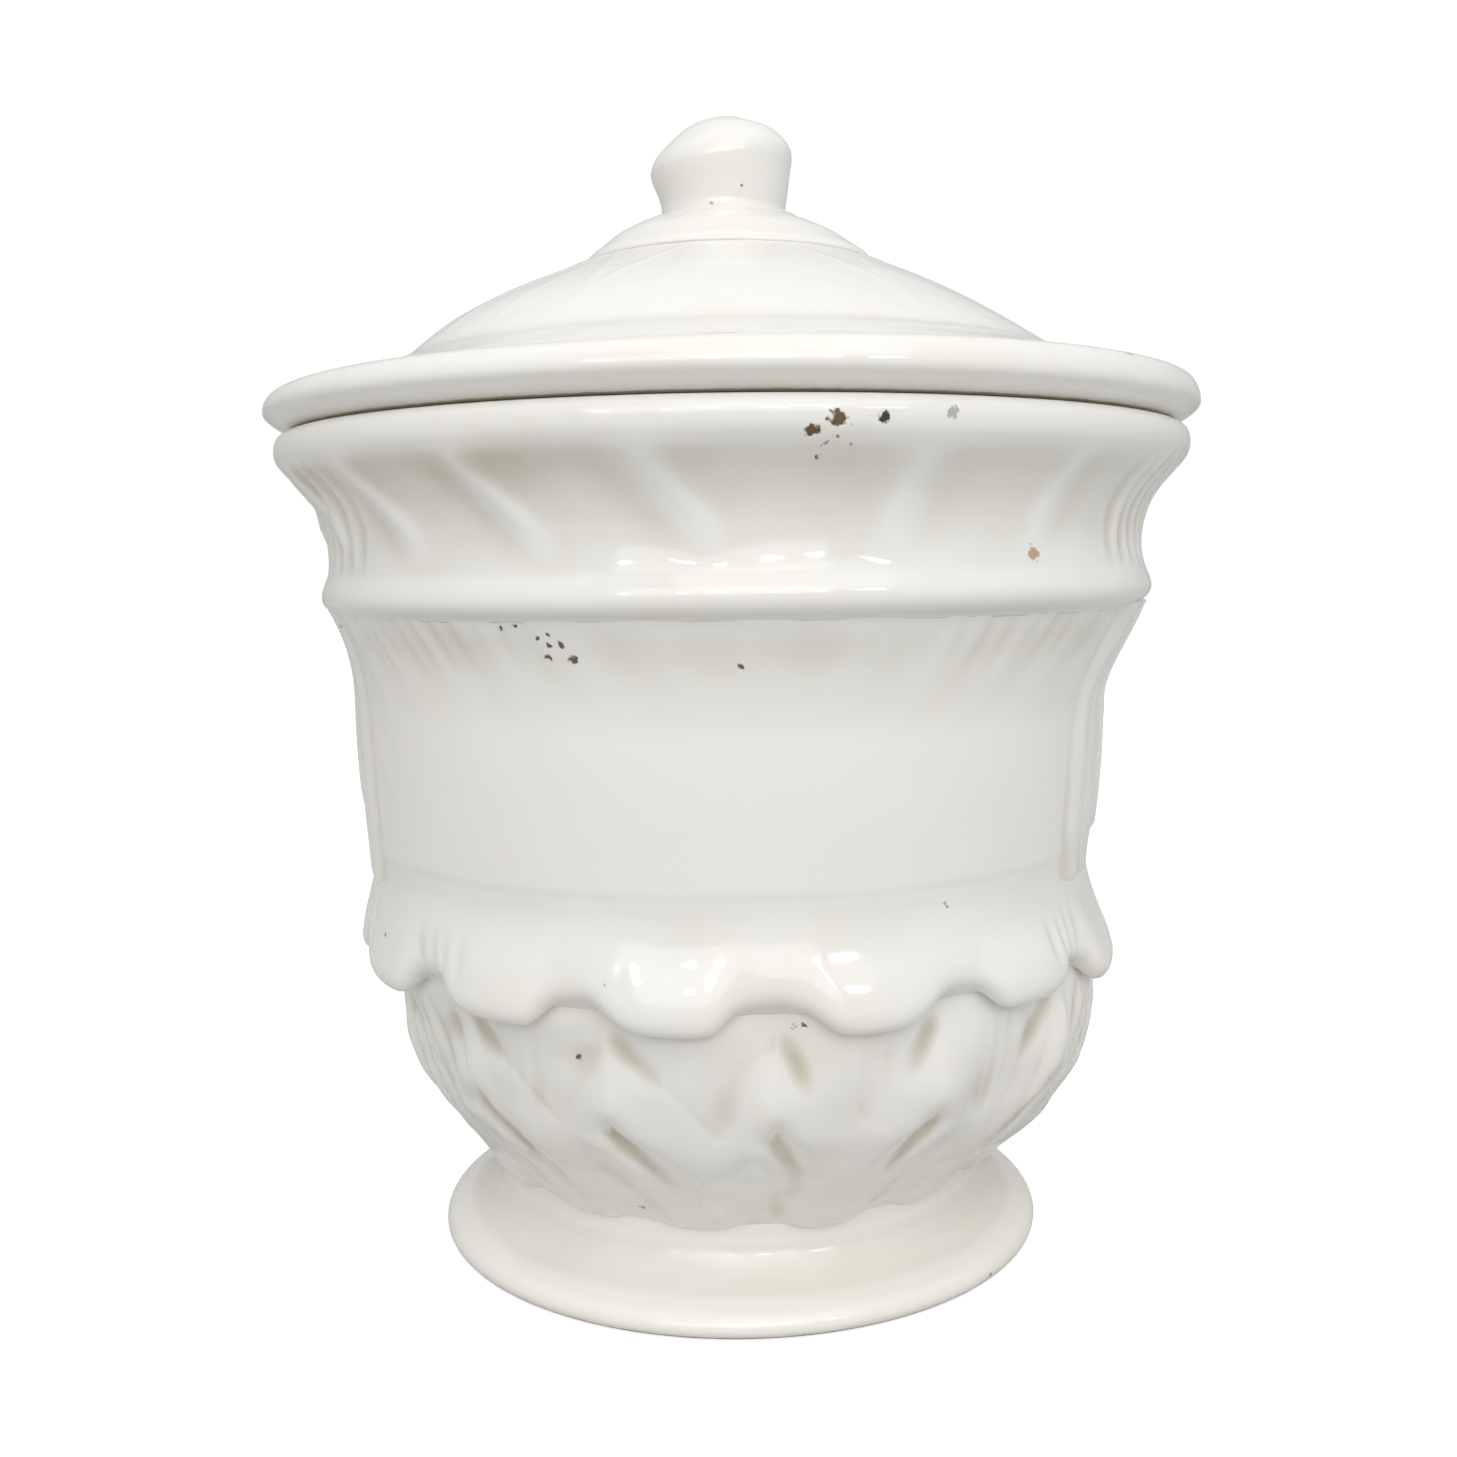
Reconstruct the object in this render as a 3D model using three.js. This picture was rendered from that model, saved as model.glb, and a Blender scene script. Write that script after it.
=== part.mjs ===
// Covered apothecary jar in white glazed faience: a footed, waisted pot with leaf relief and a loose lid.
// Millimetres, +Z up. The origin is the centre of the foot's underside, and the front faces -Y.
// An angle around the jar is 0 at the front and grows towards +X.
import * as THREE from "three";
import { mergeVertices } from "three/addons/utils/BufferGeometryUtils.js";

// ---- Driving dimensions ----

// Heights, each measured from the member below it.
const FOOT_HEIGHT = 20; // table to the foot's joint with the bowl
const BOWL_HEIGHT = 50; // foot joint to the bowl's rim
const DRUM_HEIGHT = 74.3; // bowl rim to the underside of the ring
const NECK_HEIGHT = 36.7; // underside of the ring to the top of the lip
const BRIM_RISE = 17; // lid's seat to the crease where the dome begins
const DOME_RISE = 21; // crease to the top of the dome
const COLLAR_HEIGHT = 10;
const KNOB_HEIGHT = 22.5;

// Radii.
const FOOT_RADIUS = 69.5;
const FOOT_WAIST_RADIUS = 54.5; // top of the foot, at its joint with the bowl
const FOOT_BORE_RADIUS = 41; // hollow inside the foot, at its top
const BOWL_RADIUS = 79.8; // bowl's rim, under the hem
const BELLY_RADIUS = 76; // bowl half way up
const DRUM_RADIUS = 80.8; // drum just above the hem
const DRUM_FLARE = 2.6; // how much wider the drum is at the foot of the cove under the ring
const COVE_FLARE = 6.6; // how much wider again it is at the top of that cove
const RING_STEP = 2.4; // ring beyond the top of the cove
const NECK_SINK = 1.7; // narrowest line of the neck inside the ring
const LIP_RADIUS = 100.9;
const LIP_WIDTH = 9.4; // lip's outer edge to the mouth
const BRIM_OVERHANG = 2.1; // lid's edge beyond the lip
const CREASE_RADIUS = 71.8; // crease between brim and dome
const DOME_TOP_RADIUS = 33;
const COLLAR_STEP = 1; // collar inside the edge of the dome's top
const COLLAR_TOP_RADIUS = 17;
const KNOB_NECK_RADIUS = 14.3;
const KNOB_RADIUS = 15.9;

// Walls and edges.
const WALL = 6.5;
const FLOOR = 8;
const BEARING_WIDTH = 8; // flat ring under the foot that the jar stands on
const FOOT_EDGE = 3.5; // height of the foot's rounded edge
const FOOT_FLARE = 0.35; // share of the flare left half way up the foot
const COVE_HEIGHT = 17;
const COVE_SWEEP = 1.8; // power of the cove's curve
const RING_HEIGHT = 7;
const HOLLOW_RISE = 12.5; // underside of the ring to the narrowest line of the neck
const LIP_EDGE = 7; // height of the lip's outer bead
const BRIM_EDGE = 8.4; // thickness of the brim at its edge
const BRIM_ROUND = 2.4; // how far the edge's rounding reaches in over the brim
const SEAT_WIDTH = 5; // brim's edge to its flat underside
const LID_WALL = 6.5;
const CEILING_SWEEP = 2.8; // power of the curve of the lid's hollow
const FLANGE_HEIGHT = 11.5;
const FLANGE_WALL = 5.5;
const FLANGE_PLAY = 2.6; // flange to the throat, all round
const FLANGE_CHAMFER = 1.8; // on its two lower edges
const HOLLOW_STEP = 0.5; // lid's hollow inside the flange
const COLLAR_LIP = 3; // height of the collar's stepped edge
const KNOB_FILLET = 2.5; // height of the hollow curve at the knob's foot

// Leaf hem and leaves.
const LEAVES = 14;
const LEAF_TURN = -9; // degrees from the front to the nearest leaf's middle
const HEM_STAND_OUT = 4.7; // hem beyond the drum
const HEM_DROP = 5.8; // a leaf's tip below the notch beside it
const HEM_CURL = 2.2; // a leaf's tip beyond the notch beside it
const HEM_ROLL = 6; // height of the hem's rolled edge
const HEM_CLEAR = 2.4; // bowl rim to the underside of the hem in a notch
const HEM_EDGE = 2; // depth of the rounding at the top and bottom of the roll
const LEAF_SWELL = 2.4; // leaf's middle beyond the notch beside it

// Applied side straps.
const STRAP_TURN = -4; // degrees from the exact sides, as the leaves are also turned
const STRAP_HALF_ANGLE = 26; // degrees
const STRAP_RELIEF = 2.6;
const STRAP_EDGE = 0.9; // thickness at the strap's edges
const STRAP_FOOT_CLEAR = 12; // bowl rim to the strap's lower end
const STRAP_TOP_CLEAR = 0.5; // underside of the ring to the strap's upper end
const PENDANT_LENGTH = 48; // upper length, which stands further out than the rest
const TAIL_SHARE = 0.45; // relief of the lower length as a share of the pendant's
const TAIL_WIDTH = 0.8; // its width as a share of the pendant's
const PENDANT_STEP = 6; // height over which one goes over to the other

// Clearances.
const JOINT_GAP = 0.3; // between members that are luted together
const REST_GAP = 0.3; // between the lid and the lip it rests on

// Facets around the axis.
const JAR_SEGMENTS = 6 * LEAVES;
const PLAIN_SEGMENTS = 48;
const SMALL_SEGMENTS = 32;

// ---- Levels and radii that follow from them ----

const RIM_Z = FOOT_HEIGHT + BOWL_HEIGHT;
const DRUM_TOP_Z = RIM_Z + DRUM_HEIGHT;
const COVE_Z = DRUM_TOP_Z - COVE_HEIGHT;
const STRAP_Z = RIM_Z + STRAP_FOOT_CLEAR;
const HOLLOW_Z = DRUM_TOP_Z + HOLLOW_RISE;
const LIP_Z = DRUM_TOP_Z + NECK_HEIGHT;
const SEAT_Z = LIP_Z + REST_GAP;
const CREASE_Z = SEAT_Z + BRIM_RISE;
const DOME_TOP_Z = CREASE_Z + DOME_RISE;
const COLLAR_Z = DOME_TOP_Z + JOINT_GAP;
const KNOB_Z = COLLAR_Z + COLLAR_HEIGHT + JOINT_GAP;

const COVE_RADIUS = DRUM_RADIUS + DRUM_FLARE;
const DRUM_TOP_RADIUS = COVE_RADIUS + COVE_FLARE;
const RING_RADIUS = DRUM_TOP_RADIUS + RING_STEP;
const NECK_RADIUS = RING_RADIUS - NECK_SINK;
const MOUTH_RADIUS = LIP_RADIUS - LIP_WIDTH;
const BRIM_RADIUS = LIP_RADIUS + BRIM_OVERHANG;
const HEM_RADIUS = DRUM_RADIUS + HEM_STAND_OUT;
const COLLAR_RADIUS = DOME_TOP_RADIUS - COLLAR_STEP;
const FLANGE_RADIUS = throatRadius(SEAT_Z - FLANGE_HEIGHT) - FLANGE_PLAY;

// ---- Helpers ----

const { degToRad, lerp, smoothstep } = THREE.MathUtils;

// A closed solid of revolution. The outline is a list of [radius, height, weight] points, with the solid
// on its left. The relief moves a point at an angle by its [outward, upward] shift times the weight.
function turned(outline, segments, relief = () => [0, 0]) {
  const closesOnAxis = outline[0][0] === 0 && outline.at(-1)[0] === 0;
  const loop = closesOnAxis ? outline : [...outline, outline[0]];
  const points = loop.map(([radius, height]) => new THREE.Vector2(radius, height));
  const geometry = new THREE.LatheGeometry(points, segments);
  const position = geometry.getAttribute("position");
  for (let i = 0; i < position.count; i++) {
    const angle = (Math.floor(i / loop.length) % segments) * (360 / segments);
    const [radius, height, weight = 0] = loop[i % loop.length];
    const [outward, upward] = relief(angle);
    position.setXYZ(i, ...onWall(radius + weight * outward, angle, height + weight * upward));
  }
  return welded(geometry);
}

// The point at a radius, an angle in degrees and a height.
function onWall(radius, angle, height) {
  return [radius * Math.sin(degToRad(angle)), -radius * Math.cos(degToRad(angle)), height];
}

// Joins the coincident vertices, so that the surface closes on itself.
function welded(geometry) {
  geometry.deleteAttribute("normal");
  geometry.deleteAttribute("uv");
  const closed = mergeVertices(geometry, 1e-4);
  closed.computeVertexNormals();
  return closed;
}

// Points along a smooth curve through [radius, height, weight] points.
function curve(through, spans) {
  const knots = through.map(([radius, height, weight = 0]) => new THREE.Vector3(radius, height, weight));
  return new THREE.CatmullRomCurve3(knots).getPoints(spans).map((point) => point.toArray());
}

// 1 at the middle of each leaf and 0 in the notch between two leaves.
function leaf(angle) {
  return smoothstep(0.5 + 0.5 * Math.cos(degToRad(angle - LEAF_TURN) * LEAVES), 0, 1);
}

// The drum's outer radius at a height between the hem and the ring.
function drumRadius(height) {
  const cove = Math.max(0, (height - COVE_Z) / COVE_HEIGHT);
  return DRUM_RADIUS + DRUM_FLARE * smoothstep(height, RIM_Z, COVE_Z) + COVE_FLARE * cove ** COVE_SWEEP;
}

// Heights of the drum's rows from just below the straps' lower end to the ring.
function drumLevels() {
  return [0, 0.25, 0.5, 0.7, 0.8, 0.9, 1].map((up) => lerp(STRAP_Z - JOINT_GAP, DRUM_TOP_Z, up));
}

// The radius of the drum's faceted wall at a height: straight between two of its rows.
function facetRadius(height) {
  const levels = drumLevels();
  const above = Math.max(1, levels.findIndex((level) => level >= height));
  const [low, high] = [levels[above - 1], levels[above]];
  return lerp(drumRadius(low), drumRadius(high), (height - low) / (high - low));
}

// The throat's inner radius at a height between the neck's narrowest line and the mouth.
function throatRadius(height) {
  const up = (height - HOLLOW_Z) / (LIP_Z - HOLLOW_Z);
  return NECK_RADIUS - WALL + up * (MOUTH_RADIUS - NECK_RADIUS + WALL);
}

function glazed(name, geometry, color, roughness) {
  const mesh = new THREE.Mesh(
    geometry,
    new THREE.MeshStandardMaterial({ color, roughness, metalness: 0 }),
  );
  mesh.name = name;
  return mesh;
}

// ---- Jar ----

// Flared ring foot, open below and up to the bowl's floor.
function pedestalFoot() {
  const bearing = FOOT_RADIUS - FOOT_EDGE / 2;
  const flare = [
    [FOOT_RADIUS, FOOT_EDGE * 0.7],
    [FOOT_RADIUS - FOOT_EDGE * 0.7, FOOT_EDGE * 1.5],
    [lerp(FOOT_WAIST_RADIUS, FOOT_RADIUS, FOOT_FLARE), FOOT_HEIGHT * 0.5],
    [FOOT_WAIST_RADIUS + 0.5, FOOT_HEIGHT - FOOT_EDGE * 1.2],
    [FOOT_WAIST_RADIUS, FOOT_HEIGHT],
  ];
  const outline = [
    [bearing - BEARING_WIDTH, 0],
    [bearing, 0],
    ...curve(flare, 9),
    [FOOT_BORE_RADIUS, FOOT_HEIGHT],
    [lerp(FOOT_BORE_RADIUS, bearing - BEARING_WIDTH, 0.4), FOOT_HEIGHT * 0.4],
  ];
  return turned(outline, PLAIN_SEGMENTS);
}

// Bowl with its floor. The leaves swell out of its side and fade towards its rim and the foot.
function leafBowl() {
  const bottom = FOOT_HEIGHT + JOINT_GAP;
  const rim = RIM_Z - JOINT_GAP;
  const middle = (bottom + rim) / 2;
  const floor = bottom + FLOOR;
  const side = [
    [FOOT_WAIST_RADIUS, bottom],
    [lerp(FOOT_WAIST_RADIUS, BELLY_RADIUS, 0.6), lerp(bottom, middle, 0.27), 0.8],
    [BELLY_RADIUS, middle, 1],
    [lerp(BELLY_RADIUS, BOWL_RADIUS, 0.85), lerp(middle, rim, 0.6), 0.7],
    [BOWL_RADIUS, rim],
  ];
  const inside = [
    [BOWL_RADIUS - WALL, rim],
    [BELLY_RADIUS - WALL, middle + 1],
    [lerp(FOOT_WAIST_RADIUS, BELLY_RADIUS, 0.35) - WALL, floor + 2.5],
    [FOOT_BORE_RADIUS - WALL, floor],
  ];
  const outline = [[0, bottom], ...curve(side, 10), ...curve(inside, 6), [0, floor]];
  return turned(outline, JAR_SEGMENTS, (angle) => [LEAF_SWELL * (leaf(angle) - 0.7), 0]);
}

// Drum with the leaf tips of the hem hanging outside the bowl's rim, and the cove under the ring.
function drumWall() {
  const notch = RIM_Z + HEM_CLEAR;
  const hem = [
    [BOWL_RADIUS + HEM_EDGE * 0.6, notch, 1],
    [HEM_RADIUS - HEM_EDGE * 0.9, notch - HEM_EDGE * 0.1, 1],
    [HEM_RADIUS, notch + HEM_ROLL * 0.35, 0.85],
    [HEM_RADIUS - HEM_EDGE, notch + HEM_ROLL, 0.5],
  ];
  const side = drumLevels().map((height) => [drumRadius(height), height]);
  const outline = [
    [BOWL_RADIUS - WALL, RIM_Z],
    [BOWL_RADIUS + JOINT_GAP, RIM_Z],
    ...hem,
    ...side,
    [DRUM_TOP_RADIUS - WALL, DRUM_TOP_Z],
    [COVE_RADIUS - WALL, COVE_Z],
    [DRUM_RADIUS - WALL, STRAP_Z],
  ];
  const tips = (angle) => [HEM_CURL * (leaf(angle) - 0.7), -HEM_DROP * leaf(angle)];
  return turned(outline, JAR_SEGMENTS, tips);
}

// Ring, hollow neck and lip, with the tapered throat inside.
function neckMoulding() {
  const bottom = DRUM_TOP_Z + JOINT_GAP;
  const side = [
    [RING_RADIUS - RING_HEIGHT * 0.06, bottom],
    [RING_RADIUS, bottom + RING_HEIGHT * 0.35],
    [RING_RADIUS - RING_HEIGHT * 0.08, bottom + RING_HEIGHT],
    [NECK_RADIUS, HOLLOW_Z],
    [lerp(NECK_RADIUS, LIP_RADIUS, 0.2), lerp(HOLLOW_Z, LIP_Z, 0.38)],
    [lerp(NECK_RADIUS, LIP_RADIUS, 0.85), LIP_Z - LIP_EDGE],
    [LIP_RADIUS, LIP_Z - LIP_EDGE / 2],
  ];
  const outline = [
    [DRUM_TOP_RADIUS - WALL, bottom],
    ...curve(side, 12),
    [LIP_RADIUS - LIP_EDGE * 0.15, LIP_Z - LIP_EDGE * 0.1],
    [LIP_RADIUS - LIP_EDGE * 0.35, LIP_Z],
    [MOUTH_RADIUS + LIP_EDGE * 0.2, LIP_Z],
    [throatRadius(LIP_Z - LIP_EDGE * 0.2), LIP_Z - LIP_EDGE * 0.2],
    [throatRadius(HOLLOW_Z), HOLLOW_Z],
  ];
  return turned(outline, PLAIN_SEGMENTS);
}

// Relief strap laid on the drum's side, centred on the given angle: a pendant above and a thinner tail.
function sideRelief(middleAngle) {
  const top = DRUM_TOP_Z - STRAP_TOP_CLEAR;
  const pendantFoot = top - PENDANT_LENGTH;
  const across = 12;
  const up = 14;
  const vertices = [];
  for (const outer of [false, true]) {
    for (let j = 0; j <= up; j++) {
      const height = lerp(STRAP_Z, top, j / up);
      const pendant = smoothstep(height, pendantFoot - PENDANT_STEP / 2, pendantFoot + PENDANT_STEP / 2);
      const relief = STRAP_RELIEF * lerp(TAIL_SHARE, 1, pendant);
      const halfAngle = STRAP_HALF_ANGLE * lerp(TAIL_WIDTH, 1, pendant);
      for (let i = 0; i <= across; i++) {
        const side = (2 * i) / across - 1;
        const crown = lerp(STRAP_EDGE, relief, 1 - side ** 4);
        const radius = facetRadius(height) + JOINT_GAP + (outer ? crown : 0);
        vertices.push(...onWall(radius, middleAngle + side * halfAngle, height));
      }
    }
  }
  return sheetSolid(vertices, across, up);
}

// A closed solid between two grids of vertices, the inner one first, each running across and then up.
function sheetSolid(vertices, across, up) {
  const row = across + 1;
  const sheet = row * (up + 1);
  const faces = [];
  const quad = (a, b, c, d) => faces.push(a, b, c, a, c, d);
  for (let j = 0; j < up; j++) {
    for (let i = 0; i < across; i++) {
      const corner = j * row + i;
      quad(sheet + corner, sheet + corner + 1, sheet + corner + row + 1, sheet + corner + row);
      quad(corner, corner + row, corner + row + 1, corner + 1);
    }
    const left = j * row;
    const right = left + across;
    quad(left, sheet + left, sheet + left + row, left + row);
    quad(right, right + row, sheet + right + row, sheet + right);
  }
  for (let i = 0; i < across; i++) {
    const top = up * row + i;
    quad(i, i + 1, sheet + i + 1, sheet + i);
    quad(top, sheet + top, sheet + top + 1, top + 1);
  }
  const geometry = new THREE.BufferGeometry();
  geometry.setAttribute("position", new THREE.Float32BufferAttribute(vertices, 3));
  geometry.setIndex(faces);
  geometry.computeVertexNormals();
  return geometry;
}

// ---- Lid ----

// Brim and dome in one shell. Its flat underside rests on the lip and backs the flange.
function lidDome() {
  const hollowRadius = FLANGE_RADIUS - FLANGE_WALL - HOLLOW_STEP;
  const ceiling = DOME_TOP_Z - LID_WALL;
  const hollow = [0, 0.35, 0.6, 0.78, 0.9, 1].map((out) => [
    out * hollowRadius,
    lerp(ceiling, SEAT_Z, out ** CEILING_SWEEP),
  ]);
  const edge = [
    [BRIM_RADIUS - SEAT_WIDTH * 0.35, SEAT_Z + BRIM_EDGE * 0.14],
    [BRIM_RADIUS, SEAT_Z + BRIM_EDGE * 0.5],
    [BRIM_RADIUS - BRIM_ROUND * 0.2, SEAT_Z + BRIM_EDGE * 0.8],
    [BRIM_RADIUS - BRIM_ROUND, SEAT_Z + BRIM_EDGE],
  ];
  const brimTop = [
    [lerp(BRIM_RADIUS, CREASE_RADIUS, 0.35), lerp(SEAT_Z + BRIM_EDGE, CREASE_Z, 0.36)],
    [lerp(BRIM_RADIUS, CREASE_RADIUS, 0.75), lerp(SEAT_Z + BRIM_EDGE, CREASE_Z, 0.72)],
    [CREASE_RADIUS, CREASE_Z],
  ];
  const crown = new THREE.QuadraticBezierCurve(
    new THREE.Vector2(CREASE_RADIUS, CREASE_Z),
    new THREE.Vector2(lerp(DOME_TOP_RADIUS, CREASE_RADIUS, 0.7), lerp(CREASE_Z, DOME_TOP_Z, 0.42)),
    new THREE.Vector2(DOME_TOP_RADIUS, DOME_TOP_Z),
  );
  const dome = crown.getPoints(5).slice(1).map((point) => point.toArray());
  const outline = [
    ...hollow,
    [BRIM_RADIUS - SEAT_WIDTH, SEAT_Z],
    ...curve(edge, 5),
    ...brimTop,
    ...dome,
    [0, DOME_TOP_Z],
  ];
  return turned(outline, PLAIN_SEGMENTS);
}

// Locating ring that drops inside the mouth.
function lidFlange() {
  const top = SEAT_Z - JOINT_GAP;
  const bottom = SEAT_Z - FLANGE_HEIGHT;
  const inner = FLANGE_RADIUS - FLANGE_WALL;
  const outline = [
    [inner, top],
    [inner, bottom + FLANGE_CHAMFER],
    [inner + FLANGE_CHAMFER, bottom],
    [FLANGE_RADIUS - FLANGE_CHAMFER, bottom],
    [FLANGE_RADIUS, bottom + FLANGE_CHAMFER],
    [FLANGE_RADIUS, top],
  ];
  return turned(outline, PLAIN_SEGMENTS);
}

// Stepped disc between the dome and the knob.
function knobCollar() {
  const top = COLLAR_Z + COLLAR_HEIGHT;
  const outline = [
    [0, COLLAR_Z],
    [COLLAR_RADIUS - COLLAR_LIP * 0.3, COLLAR_Z],
    [COLLAR_RADIUS, COLLAR_Z + COLLAR_LIP * 0.4],
    [COLLAR_RADIUS - COLLAR_LIP * 0.7, COLLAR_Z + COLLAR_LIP],
    [lerp(COLLAR_RADIUS, COLLAR_TOP_RADIUS, 0.6), lerp(COLLAR_Z, top, 0.66)],
    [COLLAR_TOP_RADIUS, top],
    [0, top],
  ];
  return turned(outline, SMALL_SEGMENTS);
}

// Grip knob: a neck that flares upwards to a rounded shoulder and a domed top.
function lidKnob() {
  const top = KNOB_Z + KNOB_HEIGHT;
  const profile = [
    [COLLAR_TOP_RADIUS - KNOB_FILLET * 0.4, KNOB_Z],
    [KNOB_NECK_RADIUS, KNOB_Z + KNOB_FILLET],
    [KNOB_RADIUS, KNOB_Z + KNOB_HEIGHT * 0.52],
    [KNOB_RADIUS * 0.86, KNOB_Z + KNOB_HEIGHT * 0.75],
    [KNOB_RADIUS * 0.45, KNOB_Z + KNOB_HEIGHT * 0.94],
  ];
  return turned([[0, KNOB_Z], ...curve(profile, 10), [0, top]], SMALL_SEGMENTS);
}

// ---- Assembly ----

const GLAZE = 0xf2f0eb;
const FOOT_GLAZE = 0xefe9dc;
const GLOSS = 0.12;
const FOOT_GLOSS = 0.2;

const jar = new THREE.Group();
jar.add(
  glazed("neck_moulding", neckMoulding(), GLAZE, GLOSS),
  glazed("drum_wall", drumWall(), GLAZE, GLOSS),
  glazed("leaf_bowl", leafBowl(), GLAZE, GLOSS),
  glazed("pedestal_foot", pedestalFoot(), FOOT_GLAZE, FOOT_GLOSS),
  glazed("side_relief_left", sideRelief(STRAP_TURN - 90), GLAZE, GLOSS),
  glazed("side_relief_right", sideRelief(STRAP_TURN + 90), GLAZE, GLOSS),
);

const lid = new THREE.Group();
lid.add(
  glazed("lid_dome", lidDome(), GLAZE, GLOSS),
  glazed("lid_flange", lidFlange(), GLAZE, GLOSS),
  glazed("knob_collar", knobCollar(), GLAZE, GLOSS),
  glazed("lid_knob", lidKnob(), GLAZE, GLOSS),
);

const apothecaryJar = new THREE.Group();
apothecaryJar.add(jar, lid);

export default apothecaryJar;
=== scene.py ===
"""Covered apothecary jar in white glazed faience: a footed, waisted pot with leaf relief and a loose lid.

Each clay member is a closed, thick-walled turned body with its relief pressed into the outer skin.
An angle around the jar is in degrees, 0 at the front and growing towards +X. Sizes in the classes are
in millimetres, and meshes are made in metres.
"""

import logging
import math
from collections.abc import Sequence
from dataclasses import dataclass
from enum import Enum

import bpy
import numpy as np
from mathutils import Matrix, Vector


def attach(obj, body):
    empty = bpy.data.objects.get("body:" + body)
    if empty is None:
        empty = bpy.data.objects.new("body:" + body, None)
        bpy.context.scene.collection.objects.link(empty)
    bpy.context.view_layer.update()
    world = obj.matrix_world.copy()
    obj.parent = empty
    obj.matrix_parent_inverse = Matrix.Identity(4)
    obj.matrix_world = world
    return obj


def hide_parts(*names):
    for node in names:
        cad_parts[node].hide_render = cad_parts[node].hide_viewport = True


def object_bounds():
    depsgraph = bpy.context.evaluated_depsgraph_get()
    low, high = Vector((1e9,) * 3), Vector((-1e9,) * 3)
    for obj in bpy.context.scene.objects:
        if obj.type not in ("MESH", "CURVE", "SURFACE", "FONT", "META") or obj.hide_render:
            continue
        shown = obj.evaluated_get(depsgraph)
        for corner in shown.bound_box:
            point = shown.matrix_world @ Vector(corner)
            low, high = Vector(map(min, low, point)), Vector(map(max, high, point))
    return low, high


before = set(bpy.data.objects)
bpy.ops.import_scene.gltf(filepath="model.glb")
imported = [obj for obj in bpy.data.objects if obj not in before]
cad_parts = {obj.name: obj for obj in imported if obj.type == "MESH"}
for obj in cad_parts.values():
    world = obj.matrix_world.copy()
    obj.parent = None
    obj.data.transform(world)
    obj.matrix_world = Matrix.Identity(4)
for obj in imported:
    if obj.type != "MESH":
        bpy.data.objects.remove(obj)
CAD_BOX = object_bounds()

Array = np.ndarray
Colour = tuple[float, float, float]
Knot = tuple[float, ...]

MM = 0.001
log = logging.getLogger("apothecary_jar")


class Body(Enum):
    """The two loose pieces of the vessel."""

    JAR = "jar"
    LID = "lid"


class Slot(Enum):
    """The record's finishes."""

    WHITE = "white_glaze"
    IVORY = "ivory_glaze"


# ---- Curves and falloffs ----


def ease(value: Array | float, low: float, high: float) -> Array:
    """Smooth ramp from 0 at low to 1 at high, which may be the smaller of the two."""
    share = np.clip((np.asarray(value, float) - low) / (high - low), 0.0, 1.0)
    return share * share * (3.0 - 2.0 * share)


def bell(value: Array | float, middle: float, width: float) -> Array:
    """Bell-shaped bump of height 1 around the middle."""
    return np.exp(-(((np.asarray(value, float) - middle) / width) ** 2))


def around(angle: Array | float) -> Array:
    """The same angle, in degrees, between -180 and 180."""
    return (np.asarray(angle, float) + 180.0) % 360.0 - 180.0


def ripple(angle: Array, height: Array, seed: int, count: int = 6) -> Array:
    """Gentle handmade unevenness, between about -1 and 1, that closes on itself round the jar.

    Args:
        angle: Degrees round the jar.
        height: Millimetres above the table.
        seed: Choice of the unevenness.
        count: How many waves are laid over each other.

    Returns:
        The unevenness at each place.
    """
    draw = np.random.default_rng(seed)
    total = np.zeros(np.broadcast(angle, height).shape)
    for _ in range(count):
        turns = draw.integers(1, 6)
        climb = draw.uniform(-0.06, 0.06)
        total += np.cos(np.radians(angle) * turns + height * climb + draw.uniform(0, 2 * math.pi))
    return total / count


def smooth_run(knots: Sequence[Knot], spacing: float) -> Array:
    """Points along a smooth curve through the knots, at an even spacing.

    Args:
        knots: Points of the curve, each with its radius and height first.
        spacing: Distance between the points made, in millimetres.

    Returns:
        One row for each point.
    """
    points = np.array(knots, float)
    padded = np.vstack([2 * points[0] - points[1], points, 2 * points[-1] - points[-2]])
    share = np.linspace(0, 1, 24, endpoint=False)[:, None]
    fine = []
    for before, start, end, after in zip(padded, padded[1:], padded[2:], padded[3:]):
        fine.append(
            0.5
            * (
                2 * start
                + (end - before) * share
                + (2 * before - 5 * start + 4 * end - after) * share**2
                + (3 * start - before - 3 * end + after) * share**3
            )
        )
    dense = np.vstack([*fine, points[-1:]])
    return evenly(dense, spacing)


def evenly(points: Array, spacing: float) -> Array:
    """The same path with its points at an even spacing.

    Args:
        points: Points of the path, radius and height first.
        spacing: Distance between the points made, in millimetres.

    Returns:
        The points, one row for each.
    """
    length = np.concatenate([[0], np.cumsum(np.linalg.norm(np.diff(points[:, :2], axis=0), axis=1))])
    count = max(2, int(round(length[-1] / spacing)) + 1)
    place = np.linspace(0, length[-1], count)
    return np.column_stack([np.interp(place, length, column) for column in points.T])


def joined(*runs: Array) -> Array:
    """Runs joined end to end, each starting where the one before ends."""
    return np.vstack([runs[0], *(run[1:] for run in runs[1:])])


# ---- Finishes ----


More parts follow.
